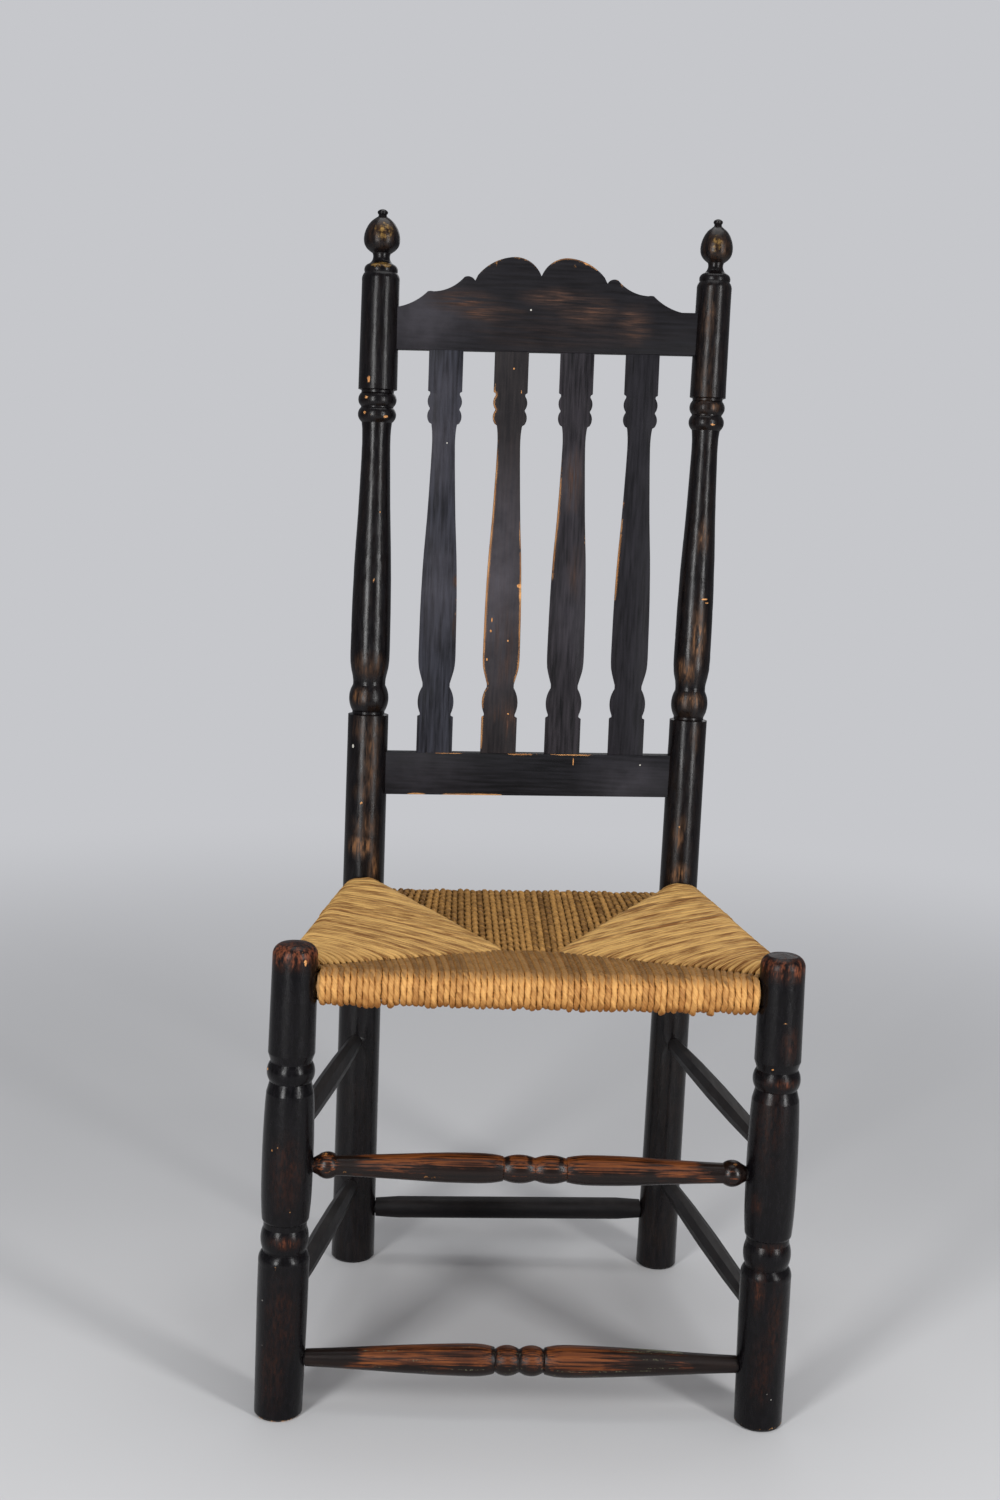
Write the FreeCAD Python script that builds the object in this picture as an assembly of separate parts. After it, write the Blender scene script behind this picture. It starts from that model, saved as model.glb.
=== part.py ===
"""Banister back side chair: turned posts, shaped crest, split banisters and a rush seat.

Lengths are millimetres and angles degrees. X runs to the right as the chair is seen from its
front, Y to its back and Z up. The origin is on the floor under the middle of the chair.
"""
import FreeCAD, Part
import math
import os

V = FreeCAD.Vector
LEFT = -1
RIGHT = 1
SIDES = {LEFT: "left", RIGHT: "right"}

# Stance of the four uprights: spacing from axis to axis, and how they lean back
front_spacing_floor = 461.0
front_spacing_top = 452.0
rear_spacing_floor = 347.0
rear_spacing_top = 357.0
leg_setback = 346.0
front_lean = 1.4
rear_rake = 2.0
foot_bevel = 1.5
cut_overrun = 12.0

# Rear posts; the right one was turned slimmer and stands a little higher at every feature
post_girth_share = {LEFT: 1.0, RIGHT: 0.93}
finial_girth_share = {LEFT: 1.0, RIGHT: 0.90}
post_lift = {LEFT: 0.0, RIGHT: 7.0}
post_foot_radius = 24.1
shaft_top_radius = 22.0
shaft_top = 619.5
shaft_arris = 1.2
groove_width = 3.5
ball_height = 29.0
neck_height = 4.0
vase_height = 278.5
bead_height = 14.5
bead_gap = 1.2
upper_shaft_height = 113.0
shoulder_height = 9.0
collar_height = 8.5
finial_neck_height = 11.5
finial_ball_height = 38.0
knob_height = 7.5
groove_radius = 17.6
ball_radius = 21.5
vase_wide_radius = 21.4
vase_slim_radius = 15.3
bead_radius = 20.5
bead_root_radius = 17.4
upper_shaft_radius = 20.8
upper_shaft_top_radius = 20.1
collar_radius = 17.8
finial_neck_radius = 9.4
finial_ball_radius = 19.3
knob_radius = 5.6
collar_root_share = 0.8
collar_low_share = 0.97
finial_neck_share = 0.45
# along the vase from its neck, and from its slim radius to its wide one
vase_shares = ((0.0, 0.38), (0.012, 0.43), (0.035, 0.67), (0.06, 0.885), (0.1, 1.0), (0.16, 0.99),
               (0.23, 0.97), (0.32, 0.92), (0.415, 0.82), (0.51, 0.67), (0.62, 0.42),
               (0.716, 0.25), (0.806, 0.115), (0.9, 0.0), (0.968, 0.02), (1.0, 0.16))
# up the finial ball, and of its radius
finial_shares = ((0.0, 0.5), (0.04, 0.62), (0.13, 0.83), (0.25, 0.965), (0.39, 1.0), (0.55, 0.955),
                 (0.71, 0.83), (0.87, 0.6), (0.965, 0.36), (1.0, 0.25))

# up the knob, and of its radius
knob_shares = ((0.0, 0.76), (0.25, 0.95), (0.5, 1.0), (0.78, 0.8), (1.0, 0.3))

# Front legs, left one named; the right one differs by the lifts
leg_height = 457.0
leg_top_lift = {LEFT: 0.0, RIGHT: 3.5}
leg_upper_lift = {LEFT: 0.0, RIGHT: 6.0}
leg_lower_lift = {LEFT: 0.0, RIGHT: -3.5}
leg_foot_radius = 22.9
leg_shaft_radius = 24.1
leg_shaft_full = 110.0
leg_lower_shoulder = 150.0
leg_lower_shoulder_round = 12.0
leg_lower_bead = 174.0
leg_lower_bead_height = 22.5
leg_lower_bead_radius = 22.7
leg_lower_root_radius = 20.4
leg_swell_bottom = 193.5
leg_swell_radius = 24.0
leg_swell_end_radius = 22.2
leg_swell_top = 316.0
leg_upper_bead = 336.0
leg_upper_bead_height = 19.0
leg_upper_bead_radius = 22.4
leg_upper_root_radius = 19.5
leg_head_bottom = 354.0
leg_head_radius = 21.9
leg_head_top_radius = 21.0
leg_head_round = 10.0
leg_crown_radius = 14.0
leg_crown_rise = 2.0
leg_crown_flat_radius = 3.0
shoulder_round = 6.0
swell_shares = ((0.0, 0.0), (0.14, 0.68), (0.36, 0.98), (0.55, 1.0), (0.78, 0.72), (0.93, 0.32),
                (1.0, 0.0))

# Arcs: how far along and how far out of its run an arc passes
shoulder_shares = (0.7, 0.33)
swell_foot_shares = (0.5, 0.67)
swell_end_shares = (0.34, 0.33)
head_foot_shares = (0.7, 0.67)
head_round_shares = (0.65, 0.33)

# Joints: round tenons stop short of each other inside the posts
tenon_fit = 0.1
mortise_end_gap = 0.5
mortise_wall = 4.0
shoulder_gap = 0.5
rung_tenon_radius = 7.0
seat_tenon_radius = 6.5

# Stretchers: heights of the axes at the front and rear posts
front_upper_height = 245.0
front_upper_lift = 3.0
front_lower_height = 54.0
front_lower_lift = 3.0
rear_stretcher_height = 56.5
left_upper_front_height = 268.0
left_upper_rear_height = 255.5
left_lower_front_height = 106.5
left_lower_rear_height = 88.5
right_upper_front_height = 266.0
right_upper_rear_height = 263.0
right_lower_front_height = 102.5
right_lower_rear_height = 104.5
side_stretcher_radius = 10.9
side_stretcher_end_radius = 8.2
side_stretcher_facets = 8
side_stretcher_shares = ((0.0, 0.0), (0.25, 0.75), (0.5, 1.0), (0.75, 0.75), (1.0, 0.0))
rear_stretcher_radius = 12.0
rear_stretcher_end_radius = 10.3
rear_taper_length = 26.0

# Turned front stretchers, from the middle outwards
upper_turning_shift = 4.0
upper_ball_length = 27.5
upper_ball_radius = 13.3
upper_root_radius = 10.7
upper_swell_radius = 14.1
upper_swell_end_radius = 9.6
upper_ring_length = 17.0
upper_ring_radius = 12.6
upper_end_radius = 9.8
upper_end_length = 4.5
lower_turning_shift = -2.5
lower_bead_length = 22.0
lower_bead_radius = 14.2
lower_root_radius = 10.9
lower_swell_radius = 15.0
lower_end_radius = 8.2
turning_gap = 1.4
# along a swelling from the middle, and from its end radius to its full one
upper_swell_shares = ((0.0, 0.45), (0.07, 0.85), (0.2, 1.0), (0.36, 0.93), (0.56, 0.62), (0.78, 0.26),
                      (1.0, 0.0))
lower_swell_shares = ((0.0, 0.6), (0.06, 0.93), (0.16, 1.0), (0.36, 0.83), (0.6, 0.52), (0.82, 0.2),
                      (1.0, 0.0))

# Back: crest, stay rail and split banisters, all flush at the front
back_rack = 1.4
back_board_thickness = 16.0
back_board_fit = 0.1
board_seat_radius = 7.0
stay_drop = 83.0
stay_depth = 46.5
crest_rise = 46.6
crest_end_height = 44.5
crest_step_height = 61.0
crest_nose_height = 76.5
crest_notch_height = 73.0
crest_cleft_height = 79.0
crest_peak_height = 98.5
crest_peak_at = 28.0
crest_lobe_end = 67.5
crest_notch_at = 70.5
crest_nose_at = 82.0
crest_nose_width = 8.0
crest_step_at = 120.5
crest_step_width = 6.0
crest_end_at = 151.0
crest_nose_bulge = 1.0
crest_step_bulge = 0.4
crest_lobe_rise_shares = (0.36, 0.69)
crest_lobe_fall_shares = (0.615, 0.35)
crest_nose_shares = (0.5, 0.67)
crest_hollow_shares = (0.33, 0.58)
crest_end_shares = (0.5, 0.67)

banister_count = 4
banister_pitch = 70.1
banister_foot_shift = -2.4
banister_top_shift = 5.1
banister_block_radius = 19.6
banister_top_block_radius = 18.3
banister_ball_radius = 19.6
banister_groove_radius = 17.0
banister_neck_radius = 14.9
banister_wide_radius = 20.2
banister_slim_radius = 12.5
banister_bead_radius = 18.4
banister_root_radius = 16.0
banister_tenon_width = 20.0
banister_tenon_thickness = 9.0
banister_tenon_length = 14.0

# Rush seat and the rails that it is wound on
seat_rail_drop = 39.0
side_rail_lift = 6.5
seat_right_lift = 5.0
rear_rail_drop = 11.5
seat_rail_depth = 22.0
seat_rail_rise = 22.0
seat_rail_round = 8.0
rush_thickness = 6.5
rush_fit = 0.3
rush_seam_gap = 0.2
rush_seam_reach_share = 0.5
apex_share = 0.44
apex_half_width = 28.5
apex_dip = 3.0
apex_web = 12.0
stuffing_rise = 17.0
stuffing_tip_rise = 3.0
stuffing_inset = 30.0
stuffing_reach_share = 0.55
stuffing_gap = 0.6


def post_axis(foot_half, top_half, full_height, setback, lean, side, height):
    """Centre of an upright at a height above the floor."""
    half = foot_half + (top_half - foot_half) * height / full_height
    return V(side * half, setback + height * math.tan(math.radians(lean)), height)


def front_axis(side, height):
    return post_axis(front_spacing_floor / 2, front_spacing_top / 2, leg_height, 0, front_lean,
                     side, height)


def rear_axis(side, height):
    return post_axis(rear_spacing_floor / 2, rear_spacing_top / 2, post_height, leg_setback, rear_rake,
                     side, height)


def outline_face(start, steps):
    """Half outline of a turning in the XZ plane, closed along its axis.

    Start and each step end are (height, radius). A pair is a straight cut, two pairs are an arc
    through the first to the second, and a longer list is a smooth sweep through its points.
    """
    def at(point):
        return V(point[1], 0, point[0])

    here = at(start)
    edges = [Part.makeLine(V(0, 0, start[0]), here)]
    for step in steps:
        if not isinstance(step, list):
            there = at(step)
            edges.append(Part.makeLine(here, there))
        elif len(step) > 2:
            there = at(step[-1])
            sweep = Part.BSplineCurve()
            sweep.interpolate([here] + [at(point) for point in step])
            edges.append(sweep.toShape())
        else:
            there = at(step[-1])
            edges.append(Part.Arc(here, at(step[0]), there).toShape())
        here = there
    if here.x > 0:
        edges.append(Part.makeLine(here, V(0, 0, here.z)))
    edges.append(Part.makeLine(V(0, 0, here.z), V(0, 0, start[0])))
    return Part.Face(Part.Wire(edges))


def turn(face, angle=360):
    return face.revolve(V(0, 0, 0), V(0, 0, 1), angle)


def radius_at(face, height):
    """Radius of a turning at one height."""
    reach = face.BoundBox.XMax * 2
    return face.common(Part.makeLine(V(0, 0, height), V(reach, 0, height))).BoundBox.XMax


def bead(bottom, top, root, full):
    """A half round raised between two roots."""
    return [((bottom + top) / 2, full), (top, root)]


def eased(start, end, shares):
    """Arc from start to end, through a share of the way along and of the way out."""
    along_share, out_share = shares
    return [(start[0] + (end[0] - start[0]) * along_share, start[1] + (end[1] - start[1]) * out_share), end]


def sweep(bottom, top, low, high, shares):
    """Points of a smooth outline: share along the height, share from the low to the high radius."""
    return [(bottom + (top - bottom) * along, low + (high - low) * out) for along, out in shares]


def along(shape, start, end):
    """Lay a piece built on +Z from start towards end."""
    placed = shape.copy()
    placed.Placement = FreeCAD.Placement(start, FreeCAD.Rotation(V(0, 0, 1), end - start))
    return placed


# Heights of the rear post's turnings, from the shaft up
ball_bottom = shaft_top + groove_width
vase_bottom = ball_bottom + ball_height + neck_height
vase_top = vase_bottom + vase_height
bead_tops = [vase_top + bead_gap + bead_height, vase_top + 2 * (bead_gap + bead_height)]
upper_shaft_bottom = bead_tops[1] + groove_width
shoulder_bottom = upper_shaft_bottom + upper_shaft_height
collar_bottom = shoulder_bottom + shoulder_height
collar_top = collar_bottom + collar_height
finial_bottom = collar_top + finial_neck_height
finial_top = finial_bottom + finial_ball_height
post_height = finial_top + knob_height


def spindle_steps(ball, groove, neck, wide, slim, beads, root):
    """Ball, vase and double bead, shared by the rear posts and the banisters."""
    shares = [(0.0, (neck - slim) / (wide - slim))] + list(vase_shares[1:])
    vase = sweep(vase_bottom, vase_top, slim, wide, shares)
    steps = [(shaft_top + shaft_arris, groove),
             (ball_bottom, groove),
             bead(ball_bottom, ball_bottom + ball_height, neck, ball),
             vase[0],
             vase[1:]]
    for top in bead_tops:
        steps.append((top - bead_height, root))
        steps.append(bead(top - bead_height, top, root, beads))
    steps.append((upper_shaft_bottom - shaft_arris, root))
    return steps


def raised(steps, lift):
    """The same outline moved up by a lift."""
    moved = []
    for step in steps:
        if isinstance(step, list):
            moved.append([(height + lift, radius) for height, radius in step])
        else:
            moved.append((step[0] + lift, step[1]))
    return moved


def rear_post_outline(side):
    girth = post_girth_share[side]
    finial = finial_girth_share[side]
    lift = post_lift[side]
    foot = post_foot_radius * girth
    steps = [(shaft_top, shaft_top_radius * girth)]
    steps += spindle_steps(ball_radius * girth, groove_radius * girth, groove_radius * girth,
                           vase_wide_radius * girth, vase_slim_radius * girth,
                           bead_radius * girth, bead_root_radius * girth)
    shaft_end = upper_shaft_top_radius * girth
    collar = collar_radius * girth
    ball = finial_ball_radius * finial
    neck = finial_neck_radius * finial
    knob_bottom = finial_top + knob_height / 4
    steps += [(upper_shaft_bottom, upper_shaft_radius * girth),
              (shoulder_bottom, shaft_end),
              eased((shoulder_bottom, shaft_end), (collar_bottom, collar * collar_low_share),
                    shoulder_shares),
              bead(collar_bottom, collar_top, collar * collar_root_share, collar),
              [(collar_top + finial_neck_height * finial_neck_share, neck),
               (finial_bottom, ball * finial_shares[0][1])],
              sweep(finial_bottom, finial_top, 0, ball, finial_shares)[1:],
              (knob_bottom, knob_radius * finial * knob_shares[0][1]),
              sweep(knob_bottom, post_height, 0, knob_radius * finial, knob_shares)[1:]]
    return outline_face((-cut_overrun, foot - foot_bevel),
                        [(0, foot - foot_bevel), (foot_bevel, foot)] + raised(steps, lift))


def front_leg_outline(side):
    lower = leg_lower_lift[side]
    upper = leg_upper_lift[side]
    top = leg_height + leg_top_lift[side]
    shoulder = leg_lower_shoulder + lower
    low_bead = leg_lower_bead + lower - leg_lower_bead_height / 2
    high_bead = leg_upper_bead + upper - leg_upper_bead_height / 2
    swell_bottom = leg_swell_bottom + lower
    swell_top = leg_swell_top + upper
    head_bottom = leg_head_bottom + upper
    root = leg_lower_root_radius
    high_root = leg_upper_root_radius
    head_round = top - leg_head_round
    swell_foot = swell_bottom - shoulder_round / 2
    head_foot = high_bead + leg_upper_bead_height + shaft_arris
    steps = [(0, leg_foot_radius - foot_bevel),
             (foot_bevel, leg_foot_radius),
             (leg_shaft_full, leg_shaft_radius),
             (shoulder, leg_shaft_radius),
             eased((shoulder, leg_shaft_radius), (shoulder + leg_lower_shoulder_round, root),
                   shoulder_shares),
             (low_bead, root),
             bead(low_bead, low_bead + leg_lower_bead_height, root, leg_lower_bead_radius),
             (swell_foot, root),
             eased((swell_foot, root), (swell_bottom, leg_swell_end_radius), swell_foot_shares),
             sweep(swell_bottom, swell_top, leg_swell_end_radius, leg_swell_radius, swell_shares)[1:],
             eased((swell_top, leg_swell_end_radius), (high_bead, high_root), swell_end_shares),
             bead(high_bead, high_bead + leg_upper_bead_height, high_root, leg_upper_bead_radius),
             (head_foot, high_root),
             eased((head_foot, high_root), (head_bottom, leg_head_radius), head_foot_shares),
             (head_round, leg_head_top_radius),
             eased((head_round, leg_head_top_radius), (top, leg_crown_radius), head_round_shares),
             (top + leg_crown_rise, leg_crown_flat_radius)]
    return outline_face((-cut_overrun, leg_foot_radius - foot_bevel), steps)


def stand(face, axis):
    """Turn an upright, lean it on its axis and cut its foot level with the floor."""
    upright = along(turn(face), axis(0), axis(leg_height))
    reach = leg_setback
    floor = Part.makeBox(2 * reach, 2 * reach, reach)
    floor.translate(axis(0) + V(-reach, -reach, -reach))
    return upright.cut(floor)


uprights = {}
for side, word in SIDES.items():
    uprights["rear_post_" + word] = {"face": rear_post_outline(side),
                                     "axis": lambda height, side=side: rear_axis(side, height)}
    uprights["front_leg_" + word] = {"face": front_leg_outline(side),
                                     "axis": lambda height, side=side: front_axis(side, height)}
for upright in uprights.values():
    upright["solid"] = stand(upright["face"], upright["axis"])
    upright["mortises"] = []

parts = {}


def span(first, first_height, second, second_height, tenon):
    """Axis of a round tenoned piece between two uprights, and where its shoulders are."""
    ends = []
    for name, height in ((first, first_height), (second, second_height)):
        upright = uprights[name]
        ends.append((upright["axis"](height), radius_at(upright["face"], height)))
    (start, start_radius), (end, end_radius) = ends
    length = (end - start).Length
    for name, here, there, reach in ((first, start, end, start_radius), (second, end, start, end_radius)):
        bottom = tenon + mortise_wall - mortise_end_gap
        drill = Part.makeCylinder(tenon + tenon_fit, reach + cut_overrun - bottom, V(0, 0, bottom))
        uprights[name]["mortises"].append(along(drill, here, there))
    return {"start": start, "end": end, "length": length, "tenon": tenon,
            "low": start_radius + shoulder_gap, "high": length - end_radius - shoulder_gap}


def tenoned(body, reach):
    """Body built on +Z between its shoulders, given a round tenon at both ends and laid in place."""
    inset = reach["tenon"] + mortise_wall
    pin = Part.makeCylinder(reach["tenon"], reach["length"] - 2 * inset, V(0, 0, inset))
    return along(body.fuse(pin).removeSplitter(), reach["start"], reach["end"])


def side_stretcher(side, front_height, rear_height):
    """Shaved eight sided stretcher, thick in the middle."""
    word = SIDES[side]
    reach = span("front_leg_" + word, front_height, "rear_post_" + word, rear_height, rung_tenon_radius)
    rings = []
    for height, radius in sweep(reach["low"], reach["high"], side_stretcher_end_radius, side_stretcher_radius,
                                side_stretcher_shares):
        corners = []
        for corner in range(side_stretcher_facets + 1):
            turned = math.radians(360 * (corner + 0.5) / side_stretcher_facets)
            corners.append(V(radius * math.cos(turned), radius * math.sin(turned), height))
        rings.append(Part.makePolygon(corners))
    return tenoned(Part.makeLoft(rings, True, True), reach)


def turned_stretcher(reach, shift, half_outline):
    """Turning alike on both sides of its middle; half_outline gives one half for its length."""
    middle = (reach["low"] + reach["high"]) / 2 + shift
    halves = []
    for length, direction in ((reach["high"] - middle, 1), (middle - reach["low"], -1)):
        start, steps = half_outline(length)
        half = turn(outline_face(start, steps))
        if direction < 0:
            half.rotate(V(0, 0, 0), V(1, 0, 0), 180)
        half.translate(V(0, 0, middle))
        halves.append(half)
    return tenoned(halves[0].fuse(halves[1]), reach)


def upper_front_half(length):
    """Ball, long swelling, ring and rounded end."""
    ball_top = turning_gap + upper_ball_length
    swell_bottom = ball_top + turning_gap
    ring_bottom = length - upper_end_length - upper_ring_length
    swell = sweep(swell_bottom, ring_bottom - turning_gap, upper_swell_end_radius, upper_swell_radius,
                  upper_swell_shares)
    steps = [bead(turning_gap / 2, ball_top, upper_root_radius, upper_ball_radius),
             (swell_bottom - turning_gap / 2, upper_root_radius),
             swell[0],
             swell[1:],
             (ring_bottom, upper_swell_end_radius),
             bead(ring_bottom, length - upper_end_length, upper_swell_end_radius, upper_ring_radius),
             (length, rung_tenon_radius + tenon_fit)]
    return (0, upper_root_radius), [(turning_gap / 2, upper_root_radius)] + steps


def lower_front_half(length):
    """Bead and a long swelling that tapers straight into the leg."""
    bead_top = turning_gap / 2 + lower_bead_length
    swell_bottom = bead_top + turning_gap
    swell = sweep(swell_bottom, length, lower_end_radius, lower_swell_radius, lower_swell_shares)
    steps = [bead(turning_gap / 2, bead_top, lower_root_radius, lower_bead_radius),
             (swell_bottom - turning_gap / 2, lower_root_radius),
             swell[0],
             swell[1:]]
    return (0, lower_root_radius), [(turning_gap / 2, lower_root_radius)] + steps


def rear_half(length):
    """Plain round with a tapered end."""
    return (0, rear_stretcher_radius), [(length - rear_taper_length, rear_stretcher_radius),
                                        (length, rear_stretcher_end_radius)]


parts["front_stretcher_upper"] = turned_stretcher(
    span("front_leg_left", front_upper_height, "front_leg_right", front_upper_height + front_upper_lift,
         rung_tenon_radius), upper_turning_shift, upper_front_half)
parts["front_stretcher_lower"] = turned_stretcher(
    span("front_leg_left", front_lower_height, "front_leg_right", front_lower_height + front_lower_lift,
         rung_tenon_radius), lower_turning_shift, lower_front_half)
parts["rear_stretcher"] = turned_stretcher(
    span("rear_post_left", rear_stretcher_height, "rear_post_right", rear_stretcher_height + post_lift[RIGHT],
         rung_tenon_radius), 0, rear_half)
parts["side_stretcher_upper_left"] = side_stretcher(LEFT, left_upper_front_height, left_upper_rear_height)
parts["side_stretcher_lower_left"] = side_stretcher(LEFT, left_lower_front_height, left_lower_rear_height)
parts["side_stretcher_upper_right"] = side_stretcher(RIGHT, right_upper_front_height, right_upper_rear_height)
parts["side_stretcher_lower_right"] = side_stretcher(RIGHT, right_lower_front_height, right_lower_rear_height)


def rounded_bar(width, rise, corner, low, high):
    """Bar along +Z with a rounded oblong section, width on local Y and rise on local X."""
    bar = Part.makeBox(rise, width, high - low, V(-rise / 2, -width / 2, low))
    long_edges = [edge for edge in bar.Edges if abs(edge.tangentAt(edge.FirstParameter).z) > 0.5]
    return bar.makeFillet(corner, long_edges)


def level(shape, start, end):
    """Lay a bar built on +Z from start to end with its local X kept upright."""
    direction = end - start
    direction.normalize()
    across = direction.cross(V(0, 0, 1))
    across.normalize()
    up = across.cross(direction)
    matrix = FreeCAD.Matrix(up.x, across.x, direction.x, start.x,
                            up.y, across.y, direction.y, start.y,
                            up.z, across.z, direction.z, start.z,
                            0, 0, 0, 1)
    placed = shape.copy()
    placed.Placement = FreeCAD.Placement(matrix)
    return placed


def seat_rail(reach, grow=0.0):
    """Rounded bar between its shoulders with a round tenon at each end."""
    bar = rounded_bar(seat_rail_depth + 2 * grow, seat_rail_rise + 2 * grow, seat_rail_round + grow,
                      reach["low"] - grow, reach["high"] + grow)
    inset = reach["tenon"] + mortise_wall - grow
    pin = Part.makeCylinder(reach["tenon"] + grow, reach["length"] - 2 * inset, V(0, 0, inset))
    return level(bar.fuse(pin), reach["start"], reach["end"])


def rush_sleeve(reach):
    """Rush wound round a rail, from upright to upright."""
    sleeve = rounded_bar(seat_rail_depth + 2 * rush_thickness, seat_rail_rise + 2 * rush_thickness,
                         seat_rail_round + rush_thickness,
                         reach["low"] - shoulder_gap + rush_fit, reach["high"] + shoulder_gap - rush_fit)
    return level(sleeve, reach["start"], reach["end"])


def wedge(base, tip):
    """Solid between an upright base line and an upright tip line or edge.

    Base and tip are lists of (point, top height, bottom height), two for a base, one or two for a tip.
    """
    tops = [V(point.x, point.y, top) for point, top, bottom in base + tip]
    bottoms = [V(point.x, point.y, bottom) for point, top, bottom in base + tip]
    count = len(tops)
    faces = []
    for corner in range(count):
        following = (corner + 1) % count
        ring = [tops[corner], tops[following], bottoms[following], bottoms[corner], tops[corner]]
        faces.append(Part.Face(Part.makePolygon(ring)))
    for level_points in (tops, bottoms):
        for corner in range(1, count - 1):
            ring = [level_points[0], level_points[corner], level_points[corner + 1], level_points[0]]
            faces.append(Part.Face(Part.makePolygon(ring)))
    return Part.Solid(Part.Shell(faces))


seat_rail_height = leg_height - seat_rail_drop
rear_rail_height = seat_rail_height - rear_rail_drop
side_rail_height = seat_rail_height + side_rail_lift
apex_height = seat_rail_height - apex_dip
right_seat = seat_rail_height + seat_right_lift
right_side_seat = side_rail_height + seat_right_lift
right_rear_seat = rear_rail_height + post_lift[RIGHT]
rails = {
    "front": span("front_leg_left", seat_rail_height, "front_leg_right", right_seat, seat_tenon_radius),
    "rear": span("rear_post_left", rear_rail_height, "rear_post_right", right_rear_seat, seat_tenon_radius),
    "left": span("front_leg_left", side_rail_height, "rear_post_left", side_rail_height, seat_tenon_radius),
    "right": span("front_leg_right", right_side_seat, "rear_post_right", right_side_seat, seat_tenon_radius)}
for word, reach in rails.items():
    parts["seat_rail_" + word] = seat_rail(reach)

# The rush: a sleeve on each rail and four fields that dip to the middle
half_rise = seat_rail_rise / 2 + rush_thickness
front_middle = (rails["front"]["start"] + rails["front"]["end"]) * 0.5
rear_middle = (rails["rear"]["start"] + rails["rear"]["end"]) * 0.5
apex_middle = front_middle + (rear_middle - front_middle) * apex_share
apexes = {side: (apex_middle + V(side * apex_half_width, 0, 0), apex_height, apex_height - apex_web)
          for side in SIDES}
fields = {}
for word, reach in rails.items():
    base = [(point, point.z + half_rise, point.z - half_rise) for point in (reach["start"], reach["end"])]
    if word in ("front", "rear"):
        tip = [apexes[RIGHT], apexes[LEFT]]
    else:
        tip = [apexes[LEFT] if word == "left" else apexes[RIGHT]]
    fields[word] = (base, tip)


def stuffing_pad(word, grow):
    """Dry stuffing between the two layers of a field, against its rail."""
    base, tip = fields[word]
    (start, _, _), (end, _, _) = base
    middle = (start + end) * 0.5
    target = tip[0][0] if len(tip) == 1 else (tip[0][0] + tip[1][0]) * 0.5
    run = end - start
    run.z = 0
    inward = V(target.x - middle.x, target.y - middle.y, 0)
    outward_part = run * (inward.dot(run) / run.dot(run))
    square = inward - outward_part
    depth = square.Length
    square.normalize()
    run.normalize()
    rings = []
    first = seat_rail_depth / 2 + stuffing_gap + rush_thickness
    last = first + (depth - first) * stuffing_reach_share
    tip_half = (tip[0][0] - tip[1][0]).Length / 2 if len(tip) == 2 else 0
    for offset, rise in ((first, stuffing_rise), (last, stuffing_tip_rise)):
        share = offset / depth
        half = (end - start).Length / 2 * (1 - share) + tip_half * share - stuffing_inset * (1 - share / 2)
        level_here = middle.z * (1 - share) + (apex_height - apex_web / 2) * share
        centre = middle + outward_part * share
        shift = -grow if rise == stuffing_rise else grow
        place = V(centre.x, centre.y, level_here) + square * (offset + shift)
        corners = [place + run * (half + grow) + V(0, 0, rise / 2 + grow),
                   place - run * (half + grow) + V(0, 0, rise / 2 + grow),
                   place - run * (half + grow) - V(0, 0, rise / 2 + grow),
                   place + run * (half + grow) - V(0, 0, rise / 2 + grow)]
        rings.append(Part.makePolygon(corners + corners[:1]))
    return Part.makeLoft(rings, True, True)


def seam_prism(word):
    """Upright prism that holds one field between its seams, drawn back a little from the next fields."""
    base, tip = fields[word]
    ends = [point for point, _, _ in base]
    tips = [point for point, _, _ in tip]
    middle = (ends[0] + ends[1]) * 0.5
    target = (tips[0] + tips[-1]) * 0.5
    run = ends[1] - ends[0]
    square = V(run.y, -run.x, 0)
    square.normalize()
    if square.dot(middle - target) < 0:
        square = -square
    ring = [ends[0] + (ends[0] - tips[-1]) * rush_seam_reach_share,
            ends[1] + (ends[1] - tips[0]) * rush_seam_reach_share] + tips
    ring = [V(point.x, point.y, 0) + square * rush_seam_gap for point in ring]
    return Part.Face(Part.makePolygon(ring + ring[:1])).extrude(V(0, 0, leg_height))


parts["seat_stuffing"] = Part.makeCompound([stuffing_pad(word, 0) for word in rails])
for word, reach in rails.items():
    base, tip = fields[word]
    rush = rush_sleeve(reach).fuse(wedge(base, tip)).common(seam_prism(word))
    for upright in uprights.values():
        grown = radius_at(upright["face"], seat_rail_height) + rush_fit
        clear = Part.makeCylinder(grown, leg_height)
        rush = rush.cut(along(clear, upright["axis"](0), upright["axis"](leg_height)))
    rush = rush.cut([seat_rail(other_reach, rush_fit) for other_reach in rails.values()])
    rush = rush.cut([stuffing_pad(other, rush_fit) for other in rails])
    parts["rush_" + word] = rush.removeSplitter()

# The back: built upright and square, then racked, raked and set on the rear posts
stay_bottom = shaft_top - stay_drop
crest_bottom = upper_shaft_bottom + crest_rise
back_pivot = (stay_bottom + crest_bottom) / 2
back_place = FreeCAD.Placement(V(0, leg_setback, 0), FreeCAD.Rotation(V(1, 0, 0), -rear_rake))
back_place = back_place.multiply(
    FreeCAD.Placement(V(0, 0, 0), FreeCAD.Rotation(V(0, 1, 0), -back_rack), V(0, 0, back_pivot)))


def on_back(shape):
    placed = shape.copy()
    placed.Placement = back_place.multiply(placed.Placement)
    return placed


def board_end(side, height):
    """Where a back board ends inside a rear post, across the back."""
    inside = back_place.inverse().multVec(rear_axis(side, height))
    return inside.x - side * board_seat_radius


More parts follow.
